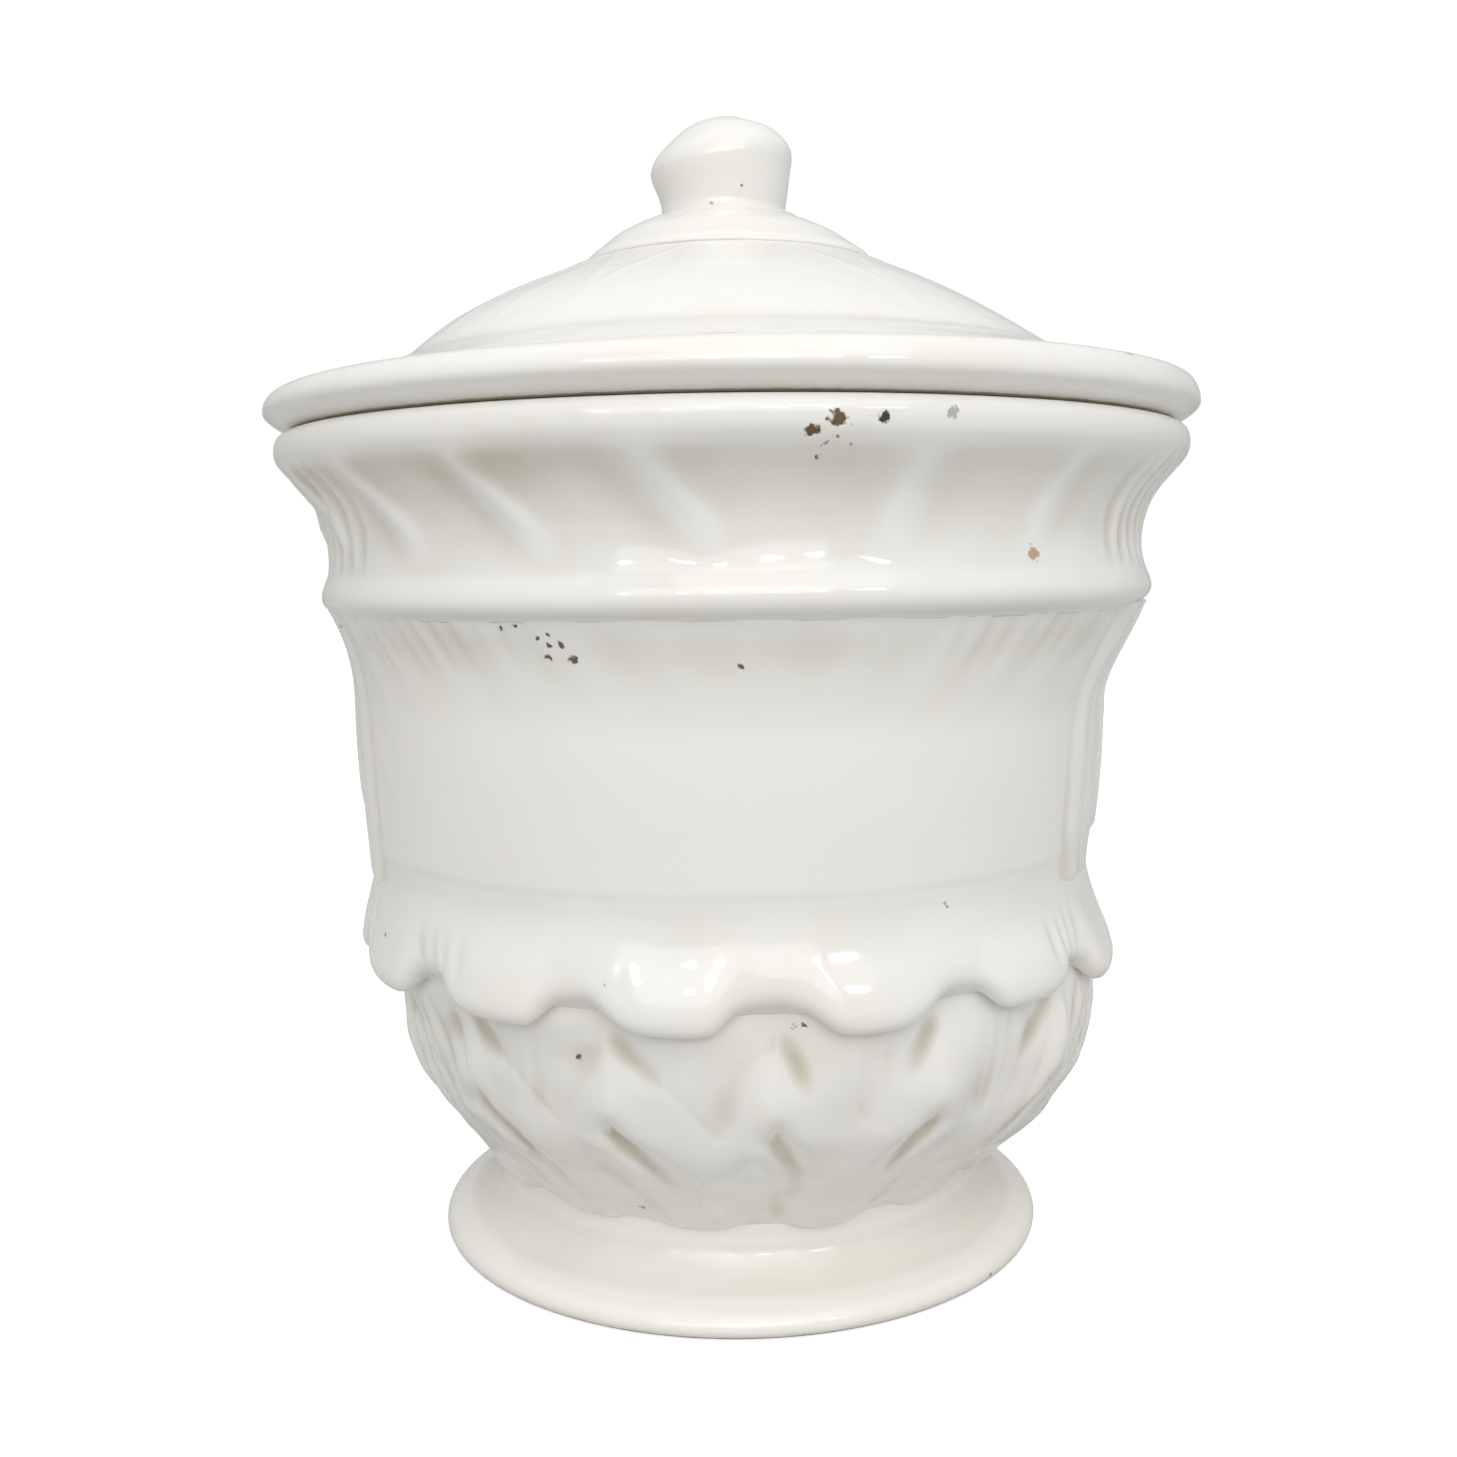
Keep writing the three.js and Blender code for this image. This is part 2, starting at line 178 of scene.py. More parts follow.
class NodeBench:
    """Places and wires the nodes of one finish, or of the room's light."""

    def __init__(self, owner: bpy.types.Material | bpy.types.World) -> None:
        """Clears the owner's nodes and makes its output.

        Args:
            owner: Material or world that the nodes belong to.
        """
        owner.use_nodes = True
        self.tree = owner.node_tree
        self.tree.nodes.clear()
        room = isinstance(owner, bpy.types.World)
        self.output = self.add("ShaderNodeOutputWorld" if room else "ShaderNodeOutputMaterial")

    def add(self, kind: str, inputs: dict | None = None, **settings: object) -> bpy.types.Node:
        """Adds a node.

        Args:
            kind: Node type.
            inputs: Socket name or number to a constant, or to the socket that feeds it.
            settings: Properties of the node.

        Returns:
            The node.
        """
        node = self.tree.nodes.new(kind)
        for name, value in settings.items():
            setattr(node, name, value)
        for socket, value in (inputs or {}).items():
            self.feed(node.inputs[socket], value)
        return node

    def feed(self, socket: bpy.types.NodeSocket, value: object) -> None:
        """Wires another node's socket to an input, or sets the input to a constant.

        Args:
            socket: The input.
            value: Output socket, or constant.
        """
        if isinstance(value, bpy.types.NodeSocket):
            self.tree.links.new(value, socket)
        else:
            socket.default_value = value

    def show(self, shader: bpy.types.Node) -> None:
        """Wires a shader to the output."""
        self.tree.links.new(shader.outputs[0], self.output.inputs["Surface"])

    def math(self, operation: str, first: object, second: object = 0.0, clamp: bool = False) -> object:
        """Output socket of a sum on two numbers or sockets."""
        node = self.add("ShaderNodeMath", {0: first, 1: second}, operation=operation, use_clamp=clamp)
        return node.outputs[0]

    def vector(self, operation: str, inputs: dict, output: str | int = 0) -> object:
        """Output socket of a sum on vectors."""
        return self.add("ShaderNodeVectorMath", inputs, operation=operation).outputs[output]

    def ramp(self, value: object, low: float, high: float, bottom: float = 0.0, top: float = 1.0) -> object:
        """Output socket of a smooth ramp from bottom at low to top at high."""
        inputs = {"Value": value, "From Min": low, "From Max": high, "To Min": bottom, "To Max": top}
        return self.add("ShaderNodeMapRange", inputs, interpolation_type="SMOOTHSTEP").outputs[0]

    def blend(self, factor: object, first: object, second: object) -> object:
        """Output socket of one colour going over to another."""
        first, second = ((*part, 1.0) if isinstance(part, tuple) else part for part in (first, second))
        return self.add("ShaderNodeMix", {0: factor, 6: first, 7: second}, data_type="RGBA").outputs[2]

    def noise(self, where: object, scale: float, detail: float = 2.0) -> object:
        """Output socket of noise with the given number of lumps in a metre."""
        return self.add("ShaderNodeTexNoise", {"Vector": where, "Scale": scale, "Detail": detail}).outputs[0]


@dataclass(frozen=True)
class Chip:
    """A pit in the glaze where the dark body shows: its angle, height and width."""

    angle: float
    height: float
    width: float
    colour: Colour = (0.16, 0.115, 0.07)

    def place(self, radius: float) -> Vector:
        """Its centre on a wall of the given radius, in metres."""
        turn = math.radians(self.angle)
        return Vector((radius * math.sin(turn), -radius * math.cos(turn), self.height)) * MM


@dataclass(frozen=True)
class Glaze:
    """Thick glossy tin glaze on a clay body: colour, gathered glaze with painted shade in hollows, pinholes
    and chips.

    A scale counts the lumps in a metre, and a strength is a share.
    """

    name: str
    colour: Colour = (0.845, 0.835, 0.8)
    warm: Colour = (0.84, 0.806, 0.728)
    # Olive of glaze gathered in hollows, made dark enough to also serve as painted shade there.
    pooled_and_shaded: Colour = (0.52, 0.487, 0.345)
    bare: Colour = (0.47, 0.4, 0.29)
    pit: Colour = (0.28, 0.24, 0.17)
    roughness: float = 0.075
    dull: float = 0.55
    cloud_scale: float = 22.0
    cloud_strength: float = 0.5
    pool_and_shade_strength: float = 0.75
    wear_strength: float = 0.3
    pinhole_scale: float = 95.0
    pinhole_share: float = 0.055
    pinhole_width: float = 0.05
    chip_tear: float = 1.3
    swell_scale: float = 75.0
    swell_height: float = 0.6
    peel_scale: float = 420.0
    peel_height: float = 0.045
    pit_depth: float = 0.35
    grain_scale: float = 2600.0
    grain_height: float = 0.1
    bump: float = 0.55
    ior: float = 1.5
    coat: float = 0.25
    coat_roughness: float = 0.03

    def material(self, chips: Sequence[tuple[Chip, float]]) -> bpy.types.Material:
        """Makes the finish.

        Args:
            chips: Chips with the wall's radius at each.

        Returns:
            The material.
        """
        made = bpy.data.materials.new(self.name)
        bench = NodeBench(made)
        where = bench.add("ShaderNodeTexCoord").outputs["Object"]
        pits, pit_colour = self._pits(bench, where, chips)
        clay = self._bare_clay(bench, where)
        colour = bench.blend(pits, self._glaze_colour(bench, where), pit_colour)
        colour = bench.blend(clay, colour, self.bare)
        gloss = bench.ramp(bench.noise(where, 90, 2), 0.3, 0.7, self.roughness * 0.7, self.roughness * 1.5)
        rough = bench.math("MULTIPLY", bench.math("MAXIMUM", pits, clay), self.dull)
        height = self._surface(bench, where, pits, clay)
        bump = bench.add("ShaderNodeBump", {"Strength": self.bump, "Distance": MM, "Height": height})
        shader = bench.add(
            "ShaderNodeBsdfPrincipled",
            {
                "Base Color": colour,
                "Roughness": bench.math("ADD", gloss, rough),
                "IOR": self.ior,
                "Coat Weight": self.coat,
                "Coat Roughness": self.coat_roughness,
                "Normal": bump.outputs[0],
            },
        )
        bench.show(shader)
        return made

    def _glaze_colour(self, bench: NodeBench, where: object) -> object:
        """Clouds the glaze's colour, darkens it with gathered glaze and painted shade in hollows, and warms
        it where edges are worn.

        Args:
            bench: The material's bench.
            where: Socket with the place on the member.

        Returns:
            Socket with the colour.
        """
        pool_and_shade = bench.add("ShaderNodeAttribute", attribute_name="pool_and_shade").outputs["Fac"]
        edge = bench.add("ShaderNodeAttribute", attribute_name="edge").outputs["Fac"]
        cloud = bench.ramp(bench.noise(where, self.cloud_scale, 3), 0.42, 0.68)
        colour = bench.blend(bench.math("MULTIPLY", cloud, self.cloud_strength), self.colour, self.warm)
        # Gathered glaze in hollows, mixed with painted shade there and under overhangs.
        depth = bench.math("MULTIPLY", pool_and_shade, bench.ramp(bench.noise(where, 60, 2), 0.25, 0.75, 0.7, 1.1))
        pool_shade_tint = bench.math("MULTIPLY", depth, self.pool_and_shade_strength, clamp=True)
        colour = bench.blend(pool_shade_tint, colour, self.pooled_and_shaded)
        worn = bench.math("MULTIPLY", edge, bench.ramp(bench.noise(where, 140, 3), 0.45, 0.7), clamp=True)
        return bench.blend(bench.math("MULTIPLY", worn, self.wear_strength), colour, self.warm)

    def _bare_clay(self, bench: NodeBench, where: object) -> object:
        """Socket that is 1 where the clay is bare, with a ragged border.

        Args:
            bench: The material's bench.
            where: Socket with the place on the member.

        Returns:
            The socket.
        """
        bare = bench.add("ShaderNodeAttribute", attribute_name="bare").outputs["Fac"]
        border = bench.ramp(bench.math("ADD", bare, bench.noise(where, 260, 3)), 0.85, 1.1)
        return bench.math("MULTIPLY", border, 1.0, clamp=True)

    def _surface(self, bench: NodeBench, where: object, pits: object, clay: object) -> object:
        """Lays the fine unevenness of the surface together.

        Args:
            bench: The material's bench.
            where: Socket with the place on the member.
            pits: Socket that is 1 in a pit.
            clay: Socket that is 1 on bare clay.

        Returns:
            Socket with the height in millimetres.
        """
        swell = bench.noise(where, self.swell_scale, 1.5)
        peel = bench.noise(where, self.peel_scale, 1.5)
        grain = bench.math("MULTIPLY", bench.noise(where, self.grain_scale, 2), clay)
        height = bench.math("MULTIPLY", swell, self.swell_height)
        height = bench.math("ADD", height, bench.math("MULTIPLY", peel, self.peel_height))
        height = bench.math("SUBTRACT", height, bench.math("MULTIPLY", pits, self.pit_depth))
        return bench.math("ADD", height, bench.math("MULTIPLY", grain, self.grain_height))

    def _pits(
        self, bench: NodeBench, where: object, chips: Sequence[tuple[Chip, float]]
    ) -> tuple[object, object]:
        """Masks out the pinholes and chips.

        Args:
            bench: The material's bench.
            where: Socket with the place on the member.
            chips: Chips with the wall's radius at each.

        Returns:
            Sockets with the mask and with the pits' colour.
        """
        cells = bench.add("ShaderNodeTexVoronoi", {"Vector": where, "Scale": self.pinhole_scale})
        draw = bench.add("ShaderNodeSeparateColor", {0: cells.outputs["Color"]}).outputs[0]
        chosen = bench.math("LESS_THAN", draw, self.pinhole_share)
        pinhole = bench.ramp(cells.outputs["Distance"], self.pinhole_width * 1.4, self.pinhole_width * 0.6)
        mask = bench.math("MULTIPLY", chosen, pinhole)
        colour: object = self.pit
        ragged = bench.add("ShaderNodeTexNoise", {"Vector": where, "Scale": 900.0, "Detail": 2.0})
        shift = bench.vector("SUBTRACT", {0: ragged.outputs["Color"], 1: (0.5, 0.5, 0.5)})
        for chip, radius in chips:
            width = chip.width * MM
            moved = bench.vector("SCALE", {0: shift, "Scale": width * self.chip_tear})
            torn = bench.vector("ADD", {0: where, 1: moved})
            reach = bench.vector("DISTANCE", {0: torn, 1: chip.place(radius)}, "Value")
            spot = bench.ramp(reach, width * 0.62, width * 0.4)
            colour = bench.blend(spot, colour, chip.colour)
            mask = bench.math("MAXIMUM", mask, spot)
        return mask, colour


@dataclass(frozen=True)
class Backdrop:
    """Matt white floor that fades into the light around it."""

    name: str = "white_floor"
    colour: Colour = (0.62, 0.62, 0.61)
    glow: float = 0.62

    def material(self) -> bpy.types.Material:
        """Makes the finish.

        Returns:
            The material.
        """
        made = bpy.data.materials.new(self.name)
        bench = NodeBench(made)
        where = bench.add("ShaderNodeTexCoord").outputs["Object"]
        colour = bench.blend(bench.noise(where, 9), self.colour, tuple(0.99 * part for part in self.colour))
        seen = bench.add("ShaderNodeLightPath").outputs["Is Camera Ray"]
        matt = bench.add("ShaderNodeBsdfDiffuse", {"Color": colour, "Roughness": 0.9})
        strength = bench.math("MULTIPLY", seen, self.glow)
        light = bench.add("ShaderNodeEmission", {"Color": (1, 1, 1, 1), "Strength": strength})
        bench.show(bench.add("ShaderNodeAddShader", {0: matt.outputs[0], 1: light.outputs[0]}))
        return made


# ---- Clay members ----


@dataclass(frozen=True)
class LeafRow:
    """The ring of leaves that the hem, the bowl and the foot joint share. Angles are in degrees."""

    count: int = 14
    turn: float = -9.0
    drift: float = 0.7
    sway: float = 2.2
    sway_turn: float = -38.0
    fullness: float = 1.75
    skew: float = 0.5

    @property
    def pitch(self) -> float:
        """From one leaf to the next."""
        return 360.0 / self.count

    def along(self, angle: Array) -> Array:
        """Angle from the start of the first leaf, which drifts and sways from an even spacing."""
        swayed = self.drift + self.sway * np.cos(2 * np.radians(angle - self.sway_turn))
        return angle - swayed - self.turn + self.pitch / 2

    def offset(self, angle: Array) -> Array:
        """Signed angle from the middle of the nearest leaf."""
        return self.along(angle) % self.pitch - self.pitch / 2

    def share(self, angle: Array) -> Array:
        """The same as a share of the leaf's half width, from -1 to 1."""
        return 2 * self.offset(angle) / self.pitch

    def beside(self, angle: Array) -> Array:
        """Signed angle from the nearest gap between two leaves."""
        offset = self.offset(angle)
        return around(offset - np.sign(offset) * self.pitch / 2)

    def number(self, angle: Array) -> Array:
        """Which leaf is the nearest."""
        return np.floor(self.along(angle) / self.pitch) % self.count

    def tip(self, angle: Array) -> Array:
        """1 along the rounded end of each leaf's tip and 0 in the notch between two leaves.

        Args:
            angle: Degrees round the jar.

        Returns:
            The share at each angle.
        """
        turn = 2 * np.pi * self.offset(angle) / self.pitch
        lean = self.skew * np.tanh(3 * np.sin(np.radians(10 - angle)))
        wave = np.cos(turn + lean * (1 - np.cos(turn))) + 0.12 + 0.12 * self.uneven(angle, 2)
        return 0.5 + 0.5 * np.tanh(self.fullness * wave) / np.tanh(self.fullness)

    def uneven(self, angle: Array, seed: int) -> Array:
        """A number from -1 to 1 that differs from leaf to leaf and fades to 0 in the notches."""
        values = np.random.default_rng(seed).uniform(-1, 1, self.count)
        return values[self.number(angle).astype(int)] * np.cos(np.pi * self.offset(angle) / self.pitch) ** 2


@dataclass
class Member:
    """A turned clay member: a closed outline swept round the axis, with relief in its outer skin."""

    node: str
    body: Body
    slot: Slot
    glaze: Glaze
    columns: int = 480
    chips: tuple[Chip, ...] = ()
    hollow_reach: int = 60
    hollow_scale: float = 0.62

    def outline(self) -> Array:
        """Radius, height and relief weight of each point of the outline."""
        raise NotImplementedError

    def relief(self, angle: Array, radius: Array, height: Array) -> tuple[Array, Array]:
        """Outward and upward shift of the skin, before the weight."""
        return np.zeros_like(angle + height), np.zeros_like(angle + height)

    def bare(self, angle: Array, height: Array) -> Array:
        """How far the glaze has missed or worn off."""
        return np.zeros_like(height)

    def pooling_and_shade(self, angle: Array, height: Array) -> Array:
        """Extra gathered glaze, and painted shade, beside what the hollows hold."""
        return np.zeros_like(height)

    def skin(self) -> Array:
        """Points of the skin: outline point, column, coordinate, in millimetres.

        Returns:
            Outline point, column, coordinate, in millimetres.
        """
        radius, height, weight = (part[:, None] for part in self.outline().T)
        angle = np.linspace(-180, 180, self.columns, endpoint=False)[None, :]
        outward, upward = self.relief(angle, radius, height)
        out = radius + weight * outward
        turn = np.radians(angle)
        return np.stack([out * np.sin(turn), -out * np.cos(turn), height + weight * upward], axis=-1)

    def wall_radius(self, height: float) -> float:
        """Outer radius of the bare outline at a height.

        Args:
            height: Millimetres above the table.

        Returns:
            The radius in millimetres.
        """
        outline = self.outline()
        near = outline[np.abs(outline[:, 1] - height) < 1.2]
        return float(near[:, 0].max()) if len(near) else float(outline[:, 0].max())

    def build(self) -> bpy.types.Object:
        """Makes the mesh, dresses it and puts it in the place of its plain solid.

        Returns:
            The piece.
        """
        points = self.skin()
        on_axis = self.outline()[0, 0] < 1e-6
        piece = closed_skin(self.node + "_clay", points, on_axis)
        self.mark(piece, points, on_axis)
        return self.dress(piece)

    def dress(self, piece: bpy.types.Object) -> bpy.types.Object:
        """Glazes a finished mesh and puts it in the place of the plain solid.

        Args:
            piece: The member's mesh.

        Returns:
            The same piece.
        """
        spots = [(chip, self.wall_radius(chip.height)) for chip in self.chips]
        piece.data.materials.append(self.glaze.material(spots))
        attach(piece, self.body.value)
        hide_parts(self.node)
        log.info("%s: %d faces", piece.name, len(piece.data.polygons))
        return piece

    def mark(self, piece: bpy.types.Object, points: Array, on_axis: bool) -> None:
        """Stores where glaze gathers with painted shade in hollows, where edges stand out and where the clay
        is bare.

        Args:
            piece: The member's mesh.
            points: Its skin, as made by skin().
            on_axis: Whether the outline starts and ends on the axis.
        """
        depth = hollow_depth(points, self.hollow_reach, on_axis)
        angle = np.degrees(np.arctan2(points[..., 0], -points[..., 1]))
        marks = {
            "pool_and_shade": np.clip(depth / self.hollow_scale + self.pooling_and_shade(angle, points[..., 2]), 0, 1),
            "edge": np.clip(-depth / self.hollow_scale, 0, 1),
            "bare": np.clip(self.bare(angle, points[..., 2]), 0, 1),
        }
        for name, values in marks.items():
            if on_axis:
                values = np.concatenate([values[0, :1], values[1:-1].ravel(), values[-1, :1]])
            store(piece, name, values)


def store(piece: bpy.types.Object, name: str, values: Array) -> None:
    """Stores a number at each of a mesh's points, for its finish to read."""
    attribute = piece.data.attributes.new(name, "FLOAT", "POINT")
    attribute.data.foreach_set("value", values.astype(np.float32).ravel())


def mesh_piece(name: str, points: Array, faces: list[list[int]]) -> bpy.types.Object:
    """Makes a smooth mesh.

    Args:
        name: Name of the piece.
        points: One row for each point, in millimetres.
        faces: The points' numbers round each face.

    Returns:
        The object.
    """
    mesh = bpy.data.meshes.new(name)
    mesh.from_pydata((points * MM).tolist(), [], faces)
    mesh.shade_smooth()
    mesh.validate()
    piece = bpy.data.objects.new(name, mesh)
    bpy.context.scene.collection.objects.link(piece)
    return piece


def hollow_depth(points: Array, reach: int, on_axis: bool) -> Array:
    """How far each point lies below the average of its surroundings: positive in hollows.

    Args:
        points: Skin of a member.
        reach: How many rounds of averaging to take.
        on_axis: Whether the outline is open at the axis.

    Returns:
        The depth in millimetres.
    """
    mean = points.copy()
    for _ in range(reach):
        across = (np.roll(mean, 1, 1) + np.roll(mean, -1, 1)) / 2
        if on_axis:
            up = np.concatenate([mean[1:], mean[-1:]])
            down = np.concatenate([mean[:1], mean[:-1]])
        else:
            up, down = np.roll(mean, 1, 0), np.roll(mean, -1, 0)
        mean = mean * 0.4 + across * 0.3 + (up + down) * 0.15
    column_step = np.roll(points, -1, 1) - np.roll(points, 1, 1)
    row_step = np.roll(points, -1, 0) - np.roll(points, 1, 0)
    normal = np.cross(column_step, row_step)
    normal /= np.maximum(np.linalg.norm(normal, axis=-1, keepdims=True), 1e-9)
    depth = ((mean - points) * normal).sum(-1)
    if on_axis:
        depth[0] = depth[-1] = 0
    return depth


def closed_skin(name: str, points: Array, on_axis: bool) -> bpy.types.Object:
    """Closes a skin of points into a mesh.

    Args:
        name: Name of the piece.
        points: Outline point, column, coordinate, in millimetres, the outline running with the clay on
            its left.
        on_axis: Whether the outline starts and ends on the axis; otherwise its end meets its start.

    Returns:
        The object.
    """
    rows, columns = points.shape[:2]
    if on_axis:
        vertices = np.vstack([points[0, :1], points[1:-1].reshape(-1, 3), points[-1, :1]])
        index = np.zeros((rows, columns), int)
        index[1:-1] = 1 + np.arange((rows - 2) * columns).reshape(rows - 2, columns)
        index[-1] = len(vertices) - 1
    else:
        vertices = points.reshape(-1, 3)
        index = np.arange(rows * columns).reshape(rows, columns)
        index = np.vstack([index, index[:1]])
    right = np.roll(index, -1, 1)
    faces = []
    for row in range(len(index) - 1):
        corners = np.stack([index[row], right[row], right[row + 1], index[row + 1]], axis=-1)
        if on_axis and row == 0:
            corners = corners[:, [0, 2, 3]]
        elif on_axis and row == len(index) - 2:
            corners = corners[:, :3]
        faces.extend(corners.tolist())
    return mesh_piece(name, vertices, faces)


@dataclass(frozen=True)
class Drum:
    """Shape of the plain wall between the hem and the ring, which the straps also follow."""

    foot: float = 70.0
    cove: float = 120.5
    top: float = 144.3
    foot_radius: float = 80.8
    flare: float = 2.6
    cove_flare: float = 6.6
    cove_power: float = 2.2
    lean: float = 1.4

    def radius(self, height: Array) -> Array:
        """Outer radius at a height.

        Args:
            height: Millimetres above the table.

        Returns:
            The radius in millimetres.
        """
        share = np.maximum(0, (np.asarray(height, float) - self.cove) / (self.top - self.cove))
        flare = self.flare * ease(height, self.foot, self.cove)
        return self.foot_radius + flare + self.cove_flare * share**self.cove_power

    def warp(self, angle: Array, height: Array) -> Array:
        """Outward shift where the wall slumped a little to one side in the kiln."""
        window = ease(height, 70, 84) * ease(height, 141, 121)
        return -self.lean * np.sin(np.radians(angle)) * window + 0.3 * ripple(angle, height, 5) * window


@dataclass
class DrumWall(Member):
    """Drum with the cove under the ring and the leaf tips of the hem that hang outside the bowl."""

    columns: int = 720
    hollow_scale: float = 1.6
    leaves: LeafRow = LeafRow()
    drum: Drum = Drum()
    wall: float = 6.5
    flutes: int = 98
    flute_depth: float = 0.4
    broad_flutes: int = 35
    pleat_depth: float = 0.85
    lobe: tuple[Knot, ...] = (
        (79.2, 69.0),
        (81.2, 67.9),
        (82.9, 66.5),
        (84.6, 65.9),
        (86.1, 66.9),
        (86.7, 69.2),
        (86.2, 72.2),
        (85.0, 75.8),
        (83.4, 79.6),
        (82.1, 83.4),
        (81.4, 87.5),
        (81.66, 92.0),
    )
    notch: tuple[Knot, ...] = (
        (79.2, 68.4),
        (80.2, 69.6),
        (81.3, 70.5),
        (82.5, 71.3),
        (83.5, 72.5),
        (84.0, 74.2),
        (83.9, 76.4),
        (83.2, 79.4),
        (82.1, 83.2),
        (81.4, 87.5),
        (81.66, 92.0),
    )
    hem_rows: int = 46
    droop: float = 2.6

    def side(self) -> Array:
        """Outer wall above the hem, then the top and the inside down to the bowl's rim.

        Returns:
            Radius, height and relief weight of each point.
        """
        drum = self.drum
        heights = np.linspace(92, drum.top, 48)
        outer = np.column_stack([drum.radius(heights), heights, np.ones(48)])
        top_inner = (float(drum.radius(drum.top)) - self.wall, drum.top, 0)
        inside = smooth_run(
            [
                top_inner,
                (float(drum.radius(127)) - self.wall, 127, 0),
                (drum.foot_radius - self.wall, 90, 0),
                (73.3, drum.foot, 0),
            ],
            4.0,
        )
        across = evenly(np.array([outer[-1] * (1, 1, 0), top_inner]), 2.2)
        under = evenly(np.array([(73.3, drum.foot, 0), (78.6, drum.foot, 0)]), 2.2)
        return np.vstack([outer, across[1:-1], inside, under[1:]])

    def hem(self, knots: tuple[Knot, ...]) -> Array:
        """Rows of one section of the hem, from the bowl's rim out and up to the plain wall."""
        run = smooth_run(knots, 0.2)
        return run[np.linspace(0, len(run) - 1, self.hem_rows).round().astype(int)]

    def outline(self) -> Array:
        """Notch section with the wall above it."""
        hem = np.column_stack([self.hem(self.notch), np.zeros(self.hem_rows)])
        return np.vstack([hem[:-1], self.side()])

    def skin(self) -> Array:
        """Hem blended from lobe to notch round the jar, with the wall above it.

        Returns:
            Outline point, column, coordinate, in millimetres.
        """
        angle = np.linspace(-180, 180, self.columns, endpoint=False)[None, :]
        tip = self.leaves.tip(angle)
        lobe, notch = (self.hem(knots)[:-1] for knots in (self.lobe, self.notch))
        radius = notch[:, :1] + (lobe[:, :1] - notch[:, :1]) * tip
        height = notch[:, 1:] + (lobe[:, 1:] - notch[:, 1:]) * tip
        side = self.side()
        radius = np.vstack([radius, np.broadcast_to(side[:, :1], (len(side), self.columns))])
        height = np.vstack([height, np.broadcast_to(side[:, 1:2], (len(side), self.columns))])
        weight = np.concatenate([np.ones(len(lobe)), side[:, 2]])[:, None]
        outward, upward = self.relief(angle, radius, height)
        radius = radius + weight * outward
        height = height + weight * upward
        turn = np.radians(angle)
        return np.stack([radius * np.sin(turn), -radius * np.cos(turn), height], axis=-1)

    def relief(self, angle: Array, radius: Array, height: Array) -> tuple[Array, Array]:
        """Flutes under the ring, pleats over the hem's notches, and the kiln's slump."""
        hem, up = self.hem_relief(angle, height)
        return self.drum.warp(angle, height) - self.flutes_under_ring(angle, height) + hem, up

    def flutes_under_ring(self, angle: Array, height: Array) -> Array:
        """Depth of the fine flutes combed under the ring and of the broad waves below them.

        Args:
            angle: Degrees round the jar.
            height: Millimetres above the table.

        Returns:
            The depth in millimetres.
        """
        lean = 5.0 * np.tanh(-around(angle - 6) / 30) * ease(height, 126, 143)
        wave = 0.5 + 0.5 * np.cos(np.radians(angle + lean) * self.flutes)
        flank = ease(np.abs(around(angle)), 15, 45)
        patchy = np.clip(0.55 + 1.1 * ripple(angle * 5, height * 2, 11), 0.1, 1.2)
        depth = self.flute_depth * (0.35 + 0.65 * flank) * patchy
        broad = np.cos(np.radians(angle + lean * 1.5) * self.broad_flutes + 1.0)
        return depth * wave**1.4 * ease(height, 129, 140) + 0.16 * broad * ease(height, 122, 138)

    def hem_relief(self, angle: Array, height: Array) -> tuple[Array, Array]:
        """Unevenness of the hem's leaf tips, with the pleats beside their notches.

        Args:
            angle: Degrees round the jar.
            height: Millimetres above the table.

        Returns:
            Outward and upward shift in millimetres.
        """
        leaves = self.leaves
        notch = leaves.pitch / 2 - np.abs(leaves.offset(angle))
        swell = 0.45 * leaves.uneven(angle, 3) * ease(height, 90, 76)
        pleats = bell(notch, 4.6, 1.1) + 0.7 * bell(notch, 1.4, 0.9)
        side = 0.12 + 0.88 * ease(np.abs(around(angle)), 26, 55)
        arch = bell(notch, 0, 3.0) * ease(height, 80, 73)
        up = 0.7 * arch + 0.5 * leaves.uneven(angle, 4) * ease(height, 82, 70)
        droop = self.droop * ease(np.sin(np.radians(angle)), 0.7, 1.0) * ease(height, 86, 74)
        return swell - self.pleat_depth * pleats * bell(height, 76.5, 3.6) * side, up - droop

    def pooling_and_shade(self, angle: Array, height: Array) -> Array:
        """Glaze gathered under the ring, with painted shade under its overhang."""
        patchy = 0.8 + 0.7 * ripple(angle * 4, height * 3, 12)
        return 0.6 * ease(height, 131, 143) * patchy


